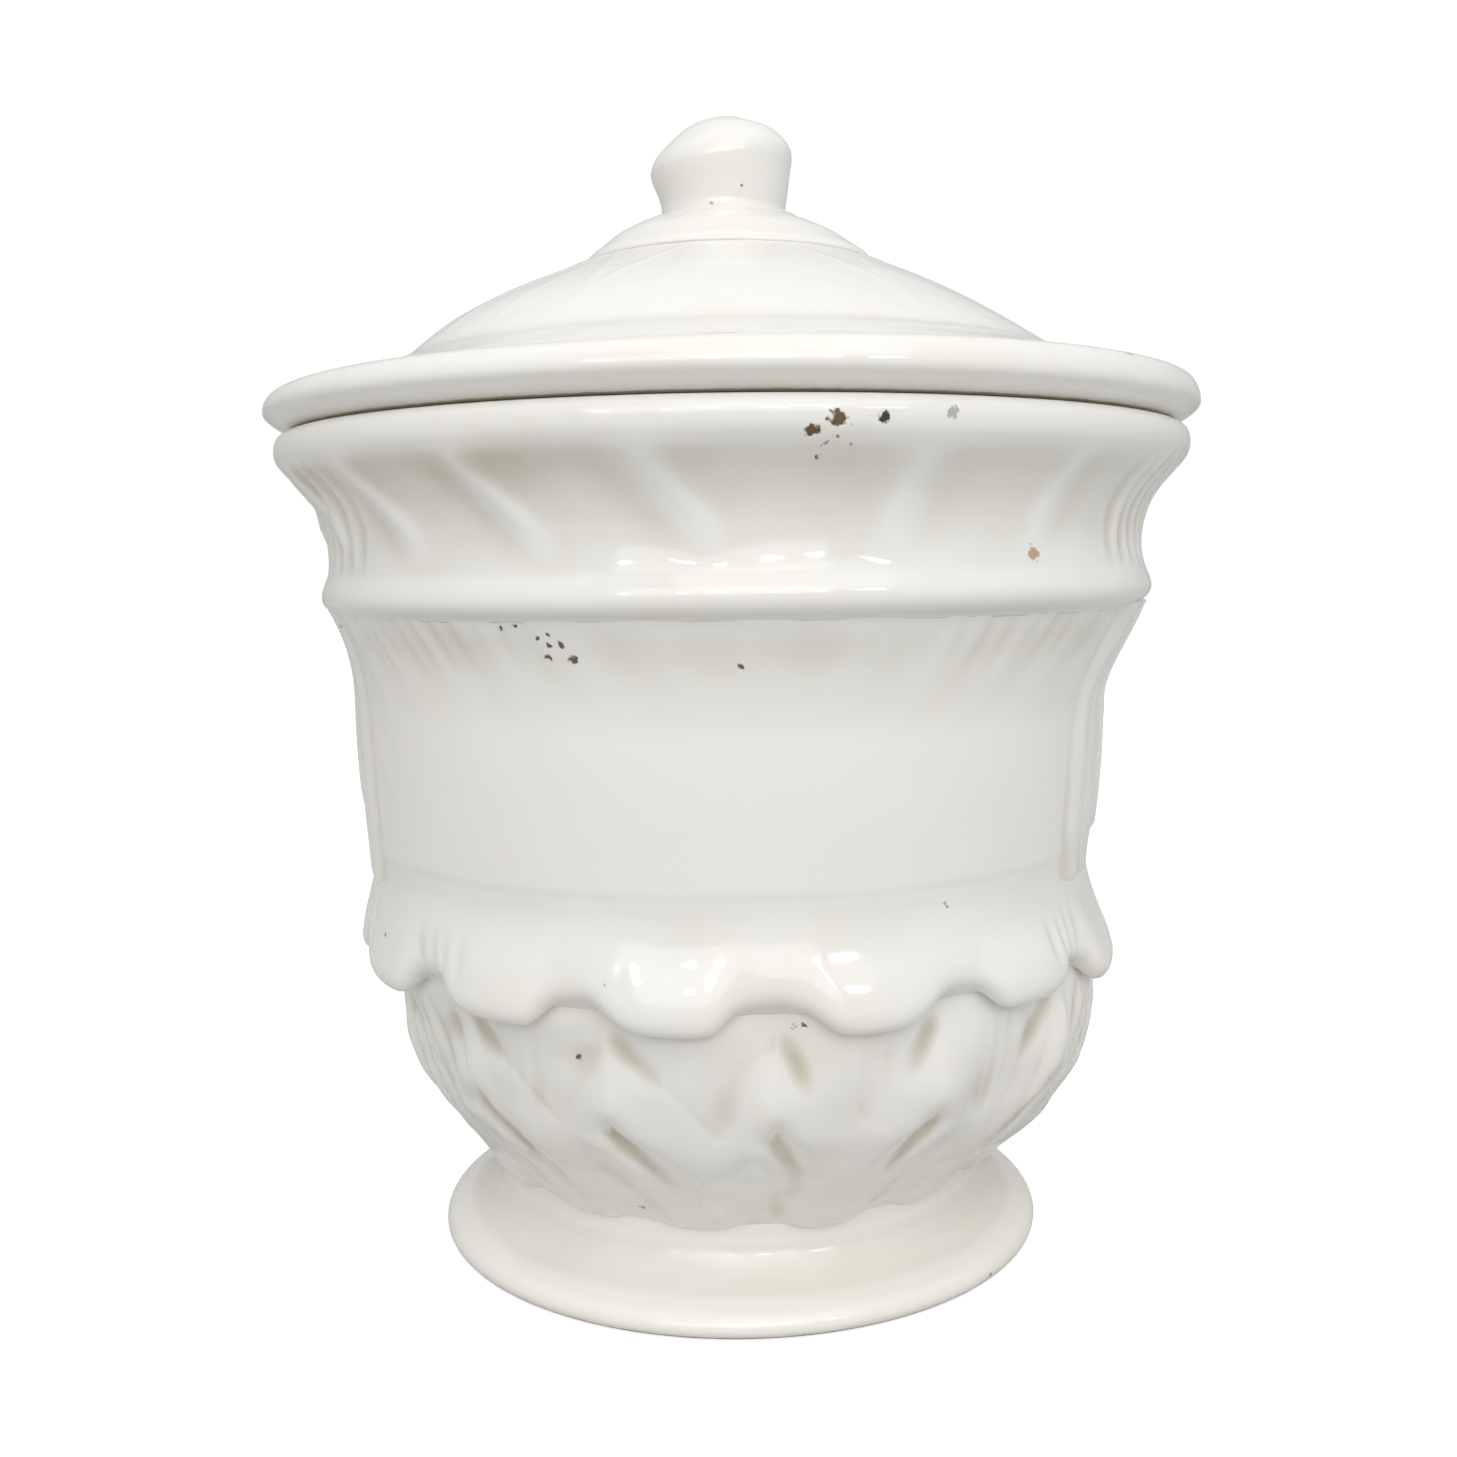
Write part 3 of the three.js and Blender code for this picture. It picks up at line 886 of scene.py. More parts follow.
@dataclass
class LeafBowl(Member):
    """Bowl with its floor, moulded with the fourteen leaves, their buds and their scalloped ends."""

    columns: int = 640
    hollow_scale: float = 0.5
    leaves: LeafRow = LeafRow()
    bottom: float = 20.3
    rim: float = 69.7
    wall: float = 6.5
    waist: float = 55.2
    lean: float = 2.2
    belly: float = 76.0
    rim_radius: float = 79.8
    crease_depth: float = 2.0
    scallop_drop: float = 1.3
    scallop_swell: float = 0.7

    def outline(self) -> Array:
        """Outer side from the foot joint to the rim, and the inside down to the floor.

        Returns:
            Radius, height and relief weight of each point.
        """
        outer = smooth_run(
            [
                (self.waist - 0.8, self.bottom - 2.8, 0.4),
                (self.waist + 1.6, self.bottom - 0.8, 1),
                (60.2, 22.3, 1),
                (65.4, 27.2, 1),
                (71.2, 34.2, 1),
                (74.6, 42.0, 1),
                (76.4, 50.0, 1),
                (78.6, 58.5, 1),
                (80.2, 65.0, 0.8),
                (80.0, self.rim, 0.3),
            ],
            0.72,
        )
        middle = evenly(np.array([(0, self.bottom, 0), (50, self.bottom, 0)]), 4.0)
        joint = evenly(np.array([(50, self.bottom, 0), (self.waist - 0.8, self.bottom - 2.8, 0.4)]), 1.0)
        top = evenly(np.array([(80.0, self.rim, 0.3), (self.rim_radius - self.wall, self.rim, 0)]), 1.6)
        inside = smooth_run(
            [
                (self.rim_radius - self.wall, self.rim, 0),
                (self.belly - self.wall, 46, 0),
                (54.0, 31.5, 0),
                (34.0, self.bottom + 8, 0),
                (0, self.bottom + 8, 0),
            ],
            2.6,
        )
        return joined(middle, joint, outer, top, inside)

    def relief(self, angle: Array, radius: Array, height: Array) -> tuple[Array, Array]:
        """Leaves with overlapping rounded ends, buds between them, veins and the scalloped foot joint.

        Args:
            angle: Degrees round the jar.
            radius: Radius of the plain outline, in millimetres. Not used.
            height: Millimetres above the table.

        Returns:
            Outward and upward shift in millimetres.
        """
        out = self.leaf_ends(angle, height) + self.buds(angle, height) + self.veins(angle, height)
        out = out + self.lower_leaves(angle, height) + self.handwork(angle, height)
        scallop = self.leaves.tip(angle) * (1 + 0.3 * self.leaves.uneven(angle, 8))
        up = -self.scallop_drop * scallop * ease(height, 27, 20)
        return out + self.scallop_swell * scallop * ease(height, 25, 20), up

    def inward(self, angle: Array) -> Array:
        """1 on the left and -1 on the right: the way in which the gaps slant to the front."""
        return np.tanh(4 * np.sin(np.radians(16 - angle)))

    def leaf_ends(self, angle: Array, height: Array) -> Array:
        """Rounded ends of the upper leaves, lapped over the lower ones, and the creases between them.

        Args:
            angle: Degrees round the jar.
            height: Millimetres above the table.

        Returns:
            Outward shift in millimetres.
        """
        beside, inward = self.leaves.beside(angle), self.inward(angle)
        share = self.leaves.share(angle)
        end = 36.5 + 7.5 * np.abs(share) ** 2.5 + 2.0 * self.leaves.uneven(angle, 8) - 1.2 * share
        step = ease(height - end, -4.5, 5.0) * ease(height - end, 26, 6)
        drop = np.clip(44 - height, 0, 14)
        slant = 0.65 * inward * drop
        crease = bell(beside, slant, 2.3 + 0.28 * drop) * ease(height, 50, 42) * ease(height, 20, 36)
        lip = bell(beside, slant - 4.2 * inward, 2.6) * ease(height, 44, 40) * ease(height, 28, 36)
        return (1.25 + 0.5 * np.abs(share)) * step - self.crease_depth * crease + 0.75 * lip

    def buds(self, angle: Array, height: Array) -> Array:
        """Buds between the leaves, the hollows over them, and the swell down each leaf's middle.

        Args:
            angle: Degrees round the jar.
            height: Millimetres above the table.

        Returns:
            Outward shift in millimetres.
        """
        beside, inward = self.leaves.beside(angle), self.inward(angle)
        uneven = self.leaves.uneven(angle, 8)
        side = ease(np.abs(around(angle)), 32, 62)
        bud = bell(beside, 0, 5.2 + uneven) * bell(height, 50.0 + 2 * uneven, 7.0)
        arch = bell(beside, 0, 4.6) * ease(height, 58, 66)
        slant = 1.6 * inward + 0.55 * inward * (66 - height)
        hollow = bell(beside, slant, 3.2) * ease(height, 51, 61)
        body = np.cos(np.pi * self.leaves.share(angle) / 2) ** 2 * bell(height, 56, 9)
        return (1.7 + 0.6 * uneven) * bud - 0.7 * arch - (1.2 + 0.7 * side) * hollow + 1.1 * body

    def veins(self, angle: Array, height: Array) -> Array:
        """Midribs, the fold across each leaf, and the close veins seen on the sides.

        Args:
            angle: Degrees round the jar.
            height: Millimetres above the table.

        Returns:
            Outward shift in millimetres.
        """
        offset = self.leaves.offset(angle)
        side = ease(np.abs(around(angle)), 32, 62)
        rib = bell(offset, -0.6 + 0.05 * (height - 58), 0.7)
        rib = rib + 0.7 * bell(offset, -3.4, 0.6) + 0.5 * bell(offset, 2.9, 0.8)
        ribs = (0.2 + 0.3 * side) * rib * ease(height, 43, 52) * ease(height, 69, 62)
        fold = bell(offset, 3.2 - 0.75 * (height - 46), 0.8) * ease(height, 43, 46) * ease(height, 60, 52)
        folds = 0.4 * fold * (0.5 + 0.5 * self.leaves.uneven(angle, 26))
        drift = offset / 5.2 + 0.05 * self.inward(angle) * (height - 50)
        drift = drift + 0.25 * ripple(angle * 3, height, 22)
        close = np.abs(np.cos(np.pi * drift)) ** 0.8 - 0.6
        return ribs - folds + 0.75 * close * side * ease(height, 26, 44) * ease(height, 70, 62)

    def lower_leaves(self, angle: Array, height: Array) -> Array:
        """Plain lower leaves and the grooves between them.

        Args:
            angle: Degrees round the jar.
            height: Millimetres above the table.

        Returns:
            Outward shift in millimetres.
        """
        inward = self.inward(angle)
        swell = 0.55 * np.cos(np.pi * self.leaves.share(angle) + 0.04 * inward * (height - 30)) + 0.1
        groove = 0.5 * bell(self.leaves.beside(angle), 0.5 * inward * (30 - height), 2.2)
        return (swell - groove) * ease(height, 40, 32) * ease(height, 17, 24)

    def handwork(self, angle: Array, height: Array) -> Array:
        """Lumps and dimples left by hand, and the bowl's lean in the kiln.

        Args:
            angle: Degrees round the jar.
            height: Millimetres above the table.

        Returns:
            Outward shift in millimetres.
        """
        lump = 0.8 * ripple(angle * 4, height * 2.2, 23)
        dimple = 0.75 * ripple(angle * 9, height * 4.5, 24, 9)
        loose = (lump + dimple) * ease(height, 22, 30) * ease(height, 68, 60)
        lean = self.lean * np.sin(np.radians(angle)) * ease(height, 20, 32) * ease(height, 70, 58)
        return lean + 0.35 * ripple(angle, height, 21) + loose


@dataclass
class NeckMoulding(Member):
    """Ring, hollow neck and lip, with the tapered throat inside."""

    columns: int = 640
    bottom: float = 144.6
    ribs: int = 20
    rib_height: float = 0.95
    right_shift: float = 7.0
    side_rib_pitch: float = 4.7
    side_rib_height: float = 0.75

    def outline(self) -> Array:
        """Outer side from under the ring to the lip, over the lip and down the throat.

        Returns:
            Radius, height and relief weight of each point.
        """
        outer = smooth_run(
            [
                (88.6, 142.4, 0.2),
                (89.9, 143.3, 0.4),
                (91.4, 144.2, 0.6),
                (92.4, 145.4, 0.8),
                (92.75, 147.0, 1),
                (92.35, 148.8, 1),
                (91.3, 151.6, 1),
                (90.7, 155.0, 1),
                (90.65, 158.4, 1),
                (91.2, 161.8, 1),
                (92.5, 165.2, 1),
                (94.6, 168.3, 1),
                (97.2, 171.2, 0.9),
                (99.4, 173.5, 0.7),
                (100.6, 175.4, 0.4),
                (100.9, 177.6, 0.2),
                (100.4, 179.6, 0),
                (99.0, 180.8, 0),
                (96.8, 181.0, 0),
            ],
            0.62,
        )
        throat = smooth_run(
            [
                (96.8, 181.0, 0),
                (94.6, 181.0, 0),
                (92.6, 180.4, 0),
                (91.3, 178.8, 0),
                (90.2, 175.0, 0),
                (84.2, 156.8, 0),
            ],
            1.2,
        )
        inside = evenly(np.array([(84.2, 156.8, 0), (83.5, self.bottom, 0)]), 3.0)
        under = evenly(np.array([(83.5, self.bottom, 0), (88.6, 142.4, 0.2)]), 2.0)
        return joined(outer, throat, inside, under)[:-1]

    def relief(self, angle: Array, radius: Array, height: Array) -> tuple[Array, Array]:
        """Splayed leaf edges pressed faintly round the neck, and close ribs over the side straps.

        Args:
            angle: Degrees round the jar.
            radius: Radius of the plain outline, in millimetres. Not used.
            height: Millimetres above the table.

        Returns:
            Outward and upward shift in millimetres.
        """
        out = self.leaf_edges(angle, height) + self.side_ribs(angle, height)
        out = out + 0.25 * ripple(angle, height, 33) * ease(height, 148, 158)
        out = out + 0.8 * np.sin(np.radians(angle)) * bell(height, 150, 8)
        lump = ripple(angle * 4, height * 3, 35) * ease(height, 147, 154) * ease(height, 176, 170)
        return out + 0.3 * lump, 0.25 * ripple(angle, height * 0, 34) * ease(height, 154, 149)

    def leaf_edges(self, angle: Array, height: Array) -> Array:
        """Splayed leaf edges, each sharp on one side and soft on the other.

        Args:
            angle: Degrees round the jar.
            height: Millimetres above the table.

        Returns:
            Outward shift in millimetres.
        """
        facing = np.tanh(3 * np.sin(np.radians(angle - 8)))
        splay = np.where(facing < 0, 9.0, 3.5) * facing * ease(height, 149, 173) ** 1.3
        pitch = 360 / self.ribs
        phase = (angle - splay - self.right_shift * (1 + facing) / 2) / pitch + 0.26
        beside = (phase - np.round(phase)) * pitch * np.where(facing < 0, 1, -1)
        ridge = bell(beside, 0, 2.3) + 0.5 * ease(beside, -1, 1) * ease(beside, 8.5, 1)
        window = ease(height, 151, 163) * ease(height, 176.5, 171)
        strength = (0.75 - 0.25 * facing) * (1 + 0.3 * ripple(angle, height * 0, 31))
        return self.rib_height * (ridge - 0.35) * window * strength

    def side_ribs(self, angle: Array, height: Array) -> Array:
        """Close upright ribs over the straps.

        Args:
            angle: Degrees round the jar.
            height: Millimetres above the table.

        Returns:
            Outward shift in millimetres.
        """
        flank = ease(np.abs(np.abs(around(angle)) - 86), 37, 27)
        rib = 0.5 + 0.5 * np.cos(2 * np.pi * np.abs(around(angle)) / self.side_rib_pitch)
        window = ease(height, 150, 156) * ease(height, 177.5, 170)
        return self.side_rib_height * (rib**0.8 - 1.0) * flank * window

    def pooling_and_shade(self, angle: Array, height: Array) -> Array:
        """Glaze gathered under the lip with painted shade, darker on the left, and a painted shadow in the
        crevice under the lid's seat.

        Args:
            angle: Degrees round the jar.
            height: Millimetres above the table.

        Returns:
            The share of gathered glaze and painted shade.
        """
        patchy = 0.75 + 0.6 * ripple(angle * 5, height * 4, 36)
        left_shade = 0.68 - 0.42 * np.sin(np.radians(angle))
        # Painted shade under the lip, heavier on the left, plus a painted shadow in the seat's crevice.
        return left_shade * bell(height, 171.8, 4.2) * patchy + 0.8 * ease(height, 180.6, 180.95)


@dataclass
class PedestalFoot(Member):
    """Flared ring foot, open below, with an unglazed bearing ring."""

    columns: int = 420
    height: float = 20.0

    def outline(self) -> Array:
        """Bearing ring, flare, top joint and the inside of the foot.

        Returns:
            Radius, height and relief weight of each point.
        """
        bearing = evenly(np.array([(60.2, 0.4, 0), (61.2, 0, 0), (66.4, 0, 0)]), 0.9)
        flare = smooth_run(
            [
                (66.4, 0, 0),
                (68.4, 0.55, 0.3),
                (69.35, 1.8, 0.6),
                (69.2, 3.4, 1),
                (68.0, 4.9, 1),
                (65.6, 6.0, 1),
                (62.2, 7.3, 1),
                (59.2, 9.6, 1),
                (57.2, 12.6, 1),
                (56.4, 15.2, 1),
                (56.1, 17.2, 1),
                (55.8, 18.8, 1),
                (54.2, self.height - 0.1, 0.4),
            ],
            0.6,
        )
        top = evenly(np.array([(54.2, self.height - 0.1, 0.4), (41.0, self.height - 0.1, 0)]), 2.0)
        hollow = [(41.0, self.height - 0.1, 0), (46.0, 12.0, 0), (52.6, 5.0, 0), (60.2, 0.4, 0)]
        return joined(bearing, flare, top, smooth_run(hollow, 1.6))[:-1]

    def relief(self, angle: Array, radius: Array, height: Array) -> tuple[Array, Array]:
        """Slightly uneven flare."""
        out = 0.3 * ripple(angle, height, 41) - 0.15
        return out, 0.25 * ripple(angle, height * 0, 42) * ease(height, 2, 8)

    def bare(self, angle: Array, height: Array) -> Array:
        """The bearing ring is wiped clean of glaze."""
        return ease(height, 1.6, 0.5) * 0.9


@dataclass
class LidDome(Member):
    """Brim and dome in one shell, flat underneath where it rests on the lip."""

    columns: int = 500
    leaves: int = 12
    leaf_height: float = 0.2

    def outline(self) -> Array:
        """Underside hollow, seat, brim's edge, brim and dome.

        Returns:
            Radius, height and relief weight of each point.
        """
        hollow = smooth_run(
            [
                (0, 212.6, 0),
                (40, 211.6, 0),
                (60, 205.2, 0),
                (72, 194.5, 0),
                (78.2, 184.5, 0),
                (79.6, 181.3, 0),
            ],
            2.6,
        )
        seat = evenly(np.array([(79.6, 181.3, 0), (97.0, 181.3, 0)]), 2.4)
        outer = smooth_run(
            [
                (97.0, 181.3, 0),
                (98.6, 181.9, 0),
                (100.4, 182.9, 0),
                (101.8, 183.9, 0.1),
                (102.7, 184.8, 0.2),
                (102.9, 185.8, 0.3),
                (102.6, 187.3, 0.5),
                (101.8, 188.8, 0.8),
                (100.6, 189.8, 1),
                (98.6, 190.5, 1),
                (95.6, 190.9, 1),
                (88.0, 192.4, 1),
                (79.5, 195.0, 1),
                (74.0, 197.0, 1),
                (71.6, 198.5, 1),
                (69.0, 200.4, 1),
                (63.2, 204.4, 1),
                (57.8, 207.6, 1),
                (52.0, 210.6, 1),
                (46.0, 213.4, 1),
                (39.5, 216.3, 1),
                (35.5, 218.1, 1),
                (31.0, 219.5, 0.4),
            ],
            0.66,
        )
        top = evenly(np.array([(31.0, 219.5, 0.4), (0, 219.3, 0)]), 3.0)
        return joined(hollow, seat, outer, top)

    def relief(self, angle: Array, radius: Array, height: Array) -> tuple[Array, Array]:
        """Faint pointed leaf outlines round the dome, and a soft wobble in the brim.

        Args:
            angle: Degrees round the jar.
            radius: Radius of the plain outline, in millimetres.
            height: Millimetres above the table.

        Returns:
            Outward and upward shift in millimetres.
        """
        pitch = 360 / self.leaves
        offset = np.abs((angle - 3 + pitch) % pitch - pitch / 2)
        climb = np.clip((71 - radius) / (71 - 34), 0, 1)
        half = pitch / 2 * (1 - climb**2.4)
        line = bell(offset, half, 1.6)
        vein = 0.5 * bell(offset, 0, 1.2)
        window = ease(radius, 72, 66) * ease(radius, 33, 38)
        up = self.leaf_height * (line + vein) * window * (0.6 + 0.5 * ripple(angle, height, 51))
        up = up + 0.22 * ripple(angle, height, 52)
        brim = ease(radius, 74, 90)
        side = np.sin(np.radians(angle))
        up = up + 0.8 * side * ease(radius, 60, 90) * ease(height, 184, 188)
        lean = -side * (1.0 * bell(height, 206, 6.5) + 0.1 * ease(height, 199, 219))
        return 0.2 * ripple(angle, height * 0, 53) * brim - 0.1 * brim + lean, up

    def pooling_and_shade(self, angle: Array, height: Array) -> Array:
        """Glaze gathered under the brim's edge, with painted shade there where the lip sits close beneath.
        """
        return 0.85 * ease(height, 184.9, 183.9)

    def bare(self, angle: Array, height: Array) -> Array:
        """The seat is wiped clean of glaze."""
        return ease(height, 181.8, 181.4)


@dataclass
class LidFlange(Member):
    """Locating ring that drops inside the mouth."""

    columns: int = 360

    def outline(self) -> Array:
        """Inner side, rounded lower edge, outer side and the top under the brim.

        Returns:
            Radius, height and relief weight of each point.
        """
        low = smooth_run(
            [
                (80.1, 181.2, 0),
                (80.1, 173.4, 1),
                (80.5, 171.2, 1),
                (81.8, 169.9, 1),
                (83.2, 169.9, 1),
                (84.7, 170.9, 1),
                (85.3, 173.0, 1),
                (85.5, 178.0, 1),
                (85.9, 181.2, 0),
            ],
            0.7,
        )
        top = evenly(np.array([(85.9, 181.2, 0), (80.1, 181.2, 0)]), 1.5)
        return joined(low, top)[:-1]

    def relief(self, angle: Array, radius: Array, height: Array) -> tuple[Array, Array]:
        """Hand-trimmed edge."""
        return 0.15 * ripple(angle, height, 61), 0.25 * ripple(angle, height * 0, 62)

    def bare(self, angle: Array, height: Array) -> Array:
        """The lower edge is thinly glazed."""
        return 0.55 * ease(height, 171.4, 170.2)


@dataclass
class KnobCollar(Member):
    """Stepped disc between the dome and the knob."""

    columns: int = 300

    def outline(self) -> Array:
        """Underside, stepped edge, slope and top.

        Returns:
            Radius, height and relief weight of each point.
        """
        under = evenly(np.array([(0, 219.5, 0), (30.2, 219.4, 0)]), 3.0)
        outer = smooth_run(
            [
                (30.2, 219.4, 0.2),
                (32.4, 219.0, 1),
                (32.2, 219.9, 1),
                (31.3, 221.0, 1),
                (29.2, 222.5, 1),
                (25.4, 225.3, 1),
                (21.8, 227.2, 1),
                (18.4, 228.7, 1),
                (16.2, 229.8, 0.6),
            ],
            0.42,
        )
        top = evenly(np.array([(16.2, 229.8, 0.6), (0, 229.9, 0)]), 2.0)
        return joined(under, outer, top)

    def relief(self, angle: Array, radius: Array, height: Array) -> tuple[Array, Array]:
        """Thrown by hand, so slightly off round and off centre."""
        lean = -1.0 * ease(height, 219, 230) * np.sin(np.radians(angle))
        return 0.25 * ripple(angle, height, 71) + lean, 0.1 * ripple(angle, height, 72)


@dataclass
class LidKnob(Member):
    """Grip knob: a neck that flares upwards to a rounded shoulder and a domed top."""

    columns: int = 240
    lean: float = 1.1
    tilt: float = 1.3

    def outline(self) -> Array:
        """Base, neck, flare, shoulder and domed top.

        Returns:
            Radius, height and relief weight of each point.
        """
        under = evenly(np.array([(0, 230.0, 0), (14.6, 229.9, 0)]), 2.0)
        outer = smooth_run(
            [
                (14.6, 229.9, 0.3),
                (14.0, 231.2, 1),
                (14.1, 233.0, 1),
                (14.8, 236.2, 1),
                (15.6, 239.4, 1),
                (15.9, 241.6, 1),
                (15.3, 243.9, 1),
                (13.4, 246.3, 1),
                (10.2, 248.9, 1),
                (6.0, 250.9, 1),
                (2.4, 252.0, 0.6),
                (0, 252.3, 0),
            ],
            0.36,
        )
        return joined(under, outer)

    def relief(self, angle: Array, radius: Array, height: Array) -> tuple[Array, Array]:
        """Pinched slightly out of round, off centre, with its shoulder higher on one side.

        Args:
            angle: Degrees round the jar.
            radius: Radius of the plain outline, in millimetres.
            height: Millimetres above the table.

        Returns:
            Outward and upward shift in millimetres.
        """
        side = np.sin(np.radians(angle))
        lean = (self.lean + 0.5 * bell(height, 240, 4)) * side * ease(radius, 1, 9)
        out = 0.22 * ripple(angle, height, 81) - 0.05 - lean
        return out, self.tilt * side * ease(height, 233, 243) * ease(radius, 5, 14)


@dataclass
class SideRelief(Member):
    """Relief strap laid on the drum's side: a flat band with a reeded pendant down its middle."""

    middle: float = 86.0
    bumps: float = 1.0
    drum: Drum = Drum()
    foot: float = 80.0
    top: float = 143.9
    across: int = 190
    rows: int = 150
    band: float = 0.9
    thickness: float = 1.4
    pendant_end: float = 92.0
    pendant_half: float = 15.0
    pendant_rise: float = 0.6
    tail: float = 1.0
    shoulder: float = 0.3

    def build(self) -> bpy.types.Object:
        """Makes the strap as a thin slab between its relief and the wall behind it.

        Returns:
            The piece.
        """
        share = np.linspace(-1, 1, self.across)[None, :]
        height = np.linspace(self.foot, self.top, self.rows)[:, None]
        half = 26.5 + 5.5 * ease(height, 140, 114) - 1.5 * ease(height, 100, 84)
        angle = self.middle + share * half
        base = self.drum.radius(height) + self.drum.warp(angle, height)
        rise = self.rise(share * half, half, height)
        turn = np.radians(angle)
        level = height + 0 * share
        sheets = []
        for radius in (base + rise, base - self.thickness + 0 * share):
            sheets.append(np.stack([radius * np.sin(turn), -radius * np.cos(turn), level], axis=-1))
        piece = slab(self.node + "_clay", *sheets)
        none = np.zeros_like(rise)
        # Gathered glaze and painted shade where the strap lies low against the wall.
        for name, values in (("pool_and_shade", 0.5 * ease(rise, 0.5, 0.0)), ("edge", none), ("bare", none)):
            store(piece, name, np.concatenate([values.ravel()] * 2))
        return self.dress(piece)

    def rise(self, offset: Array, half: Array, height: Array) -> Array:
        """How far the strap stands out from the wall.

        Args:
            offset: Degrees from the strap's middle line.
            half: The strap's half width in degrees at each height.
            height: Millimetres above the table.

        Returns:
            The rise in millimetres, negative where the slab lies inside the wall.
        """
        inset = half - np.abs(offset)
        length = self.tail + (1 - self.tail) * ease(height, self.pendant_end - 4, self.pendant_end + 8)
        band = self.band * length * ease(inset, 0.4, 6.5) - 0.35 * ease(inset, 1.6, 0)
        bead = 0.16 * bell(inset, 6.2, 1.8) - 0.16 * bell(inset, 9.4, 1.8)
        narrowing = ease(height, self.pendant_end - 1, self.pendant_end + 14)
        width = self.pendant_half * (0.42 + 0.58 * np.sqrt(np.clip(narrowing, 0, 1)))
        end = ease(height, self.pendant_end - 1.6, self.pendant_end + 2.4)
        body = ease(np.abs(offset), width, width - 2.6) * end
        reeds = 0.45 * (np.abs(np.cos(np.pi * offset / 6.2)) - 0.5)
        tips = sum(bell(height, level, 3.2) for level in (94.0, 108.5, 120.5))
        pendant = body * (self.pendant_rise + 0.7 * reeds + self.bumps * tips * ease(np.abs(offset), 13, 4))
        rib = 0.4 * self.tail * bell(offset, 0, 2.2) * (1 - body)
        shoulder = self.shoulder * ease(height, 124, 138) * ease(inset, 2, 9)
        top = ease(height, self.top + 0.6, self.top - 4)
        out = band + shoulder + (bead + pendant + rib) * (0.5 + 0.5 * top)
        sunk = ease(height, self.foot + 7, self.foot + 0.5)
        return out * (1 - sunk) - 0.35 * sunk


def slab(name: str, outer: Array, inner: Array) -> bpy.types.Object:
    """Closes two matching sheets of points into a slab.

    Args:
        name: Name of the piece.
        outer: Row, column, coordinate of the outer sheet, in millimetres.
        inner: The same for the inner sheet.

    Returns:
        The object.
    """
    rows, columns = outer.shape[:2]
    front = np.arange(rows * columns).reshape(rows, columns)
    back = front + rows * columns
    quads = []

    def strip(first: Array, second: Array) -> None:
        """Joins two lines of points."""
        quads.extend(np.stack([first[:-1], first[1:], second[1:], second[:-1]], axis=-1).tolist())

    for row in range(rows - 1):
        strip(front[row], front[row + 1])
        strip(back[row + 1], back[row])
    strip(back[0], front[0])
    strip(front[-1], back[-1])
    strip(front[:, 0], back[:, 0])
    strip(back[:, -1], front[:, -1])
    return mesh_piece(name, np.vstack([outer.reshape(-1, 3), inner.reshape(-1, 3)]), quads)


# ---- The two loose pieces ----

RUST: Colour = (0.13, 0.075, 0.026)
IRON: Colour = (0.03, 0.028, 0.02)
ASH: Colour = (0.42, 0.42, 0.41)
UMBER: Colour = (0.13, 0.1, 0.06)
BUFF: Colour = (0.5, 0.36, 0.22)


@dataclass
class Jar:
    """The jar: six members luted together before firing."""

    white: Glaze = Glaze("white_glaze")
    ivory: Glaze = Glaze("ivory_glaze", colour=(0.9, 0.88, 0.825), warm=(0.875, 0.84, 0.755), roughness=0.17)

    def build(self) -> list[bpy.types.Object]:
        """Makes the members from the lip down to the foot.

        Returns:
            The pieces.
        """
        place = {"body": Body.JAR, "slot": Slot.WHITE, "glaze": self.white}
        neck_chips = (
            Chip(10, 176.4, 3.0, RUST),
            Chip(7.6, 174.4, 2.6, RUST),
            Chip(8.9, 171.9, 1.6, RUST),
            Chip(8.3, 169.8, 1.8, RUST),
            Chip(10, 173, 1.6, RUST),
            Chip(11.4, 171.8, 1.4, RUST),
            Chip(14.6, 176.7, 2.0, IRON),
            Chip(21.6, 177.8, 2.0, ASH),
            Chip(-26, 153, 1.2, UMBER),
            Chip(37, 153.6, 2.6, BUFF),
        )
        drum_chips = (
            Chip(-28.8, 141, 1.6, UMBER),
            Chip(-26.8, 141.7, 1.0, UMBER),
            Chip(-25.6, 142.3, 0.9, UMBER),
            Chip(-24.4, 141.1, 1.1, UMBER),
            Chip(-24.1, 139.6, 0.9, UMBER),
            Chip(-22.5, 140.2, 1.1, UMBER),
            Chip(-22.7, 138.4, 1.0, UMBER),
            Chip(-21.1, 138.6, 1.5, UMBER),
            Chip(-23.2, 136.2, 1.4, UMBER),
            Chip(-19.8, 135.9, 1.4, UMBER),
            Chip(0.5, 134.3, 1.3, UMBER),
            Chip(-28.3, 75, 1.7, UMBER),
            Chip(-17, 75.4, 1.4, UMBER),
            Chip(-69, 108.6, 1.8, ASH),
            Chip(29, 87.5, 1.6, ASH),
        )
        bowl_chips = (
            Chip(-23, 59, 1.9, UMBER),
            Chip(7, 67, 1.7, UMBER),
            Chip(8.6, 67.2, 1.3, UMBER),
            Chip(12.4, 53.3, 2.6, IRON),
            Chip(15.5, 54.4, 1.8, IRON),
            Chip(-19.5, 22.6, 2.4, UMBER),
            Chip(6.5, 23.2, 1.5, UMBER),
        )
        foot_chips = (Chip(28, 8, 1.4, UMBER), Chip(-4.4, 4.4, 1.2, UMBER))
        members = (
            NeckMoulding("neck_moulding", chips=neck_chips, **place),
            DrumWall("drum_wall", chips=drum_chips, **place),
            LeafBowl("leaf_bowl", chips=bowl_chips, **place),
            PedestalFoot("pedestal_foot", Body.JAR, Slot.IVORY, self.ivory, chips=foot_chips),
            SideRelief("side_relief_left", middle=-94.0, bumps=1.0, **place),
            SideRelief("side_relief_right", middle=86.0, bumps=0.2, tail=0.3, shoulder=1.4, **place),
        )
        return [member.build() for member in members]


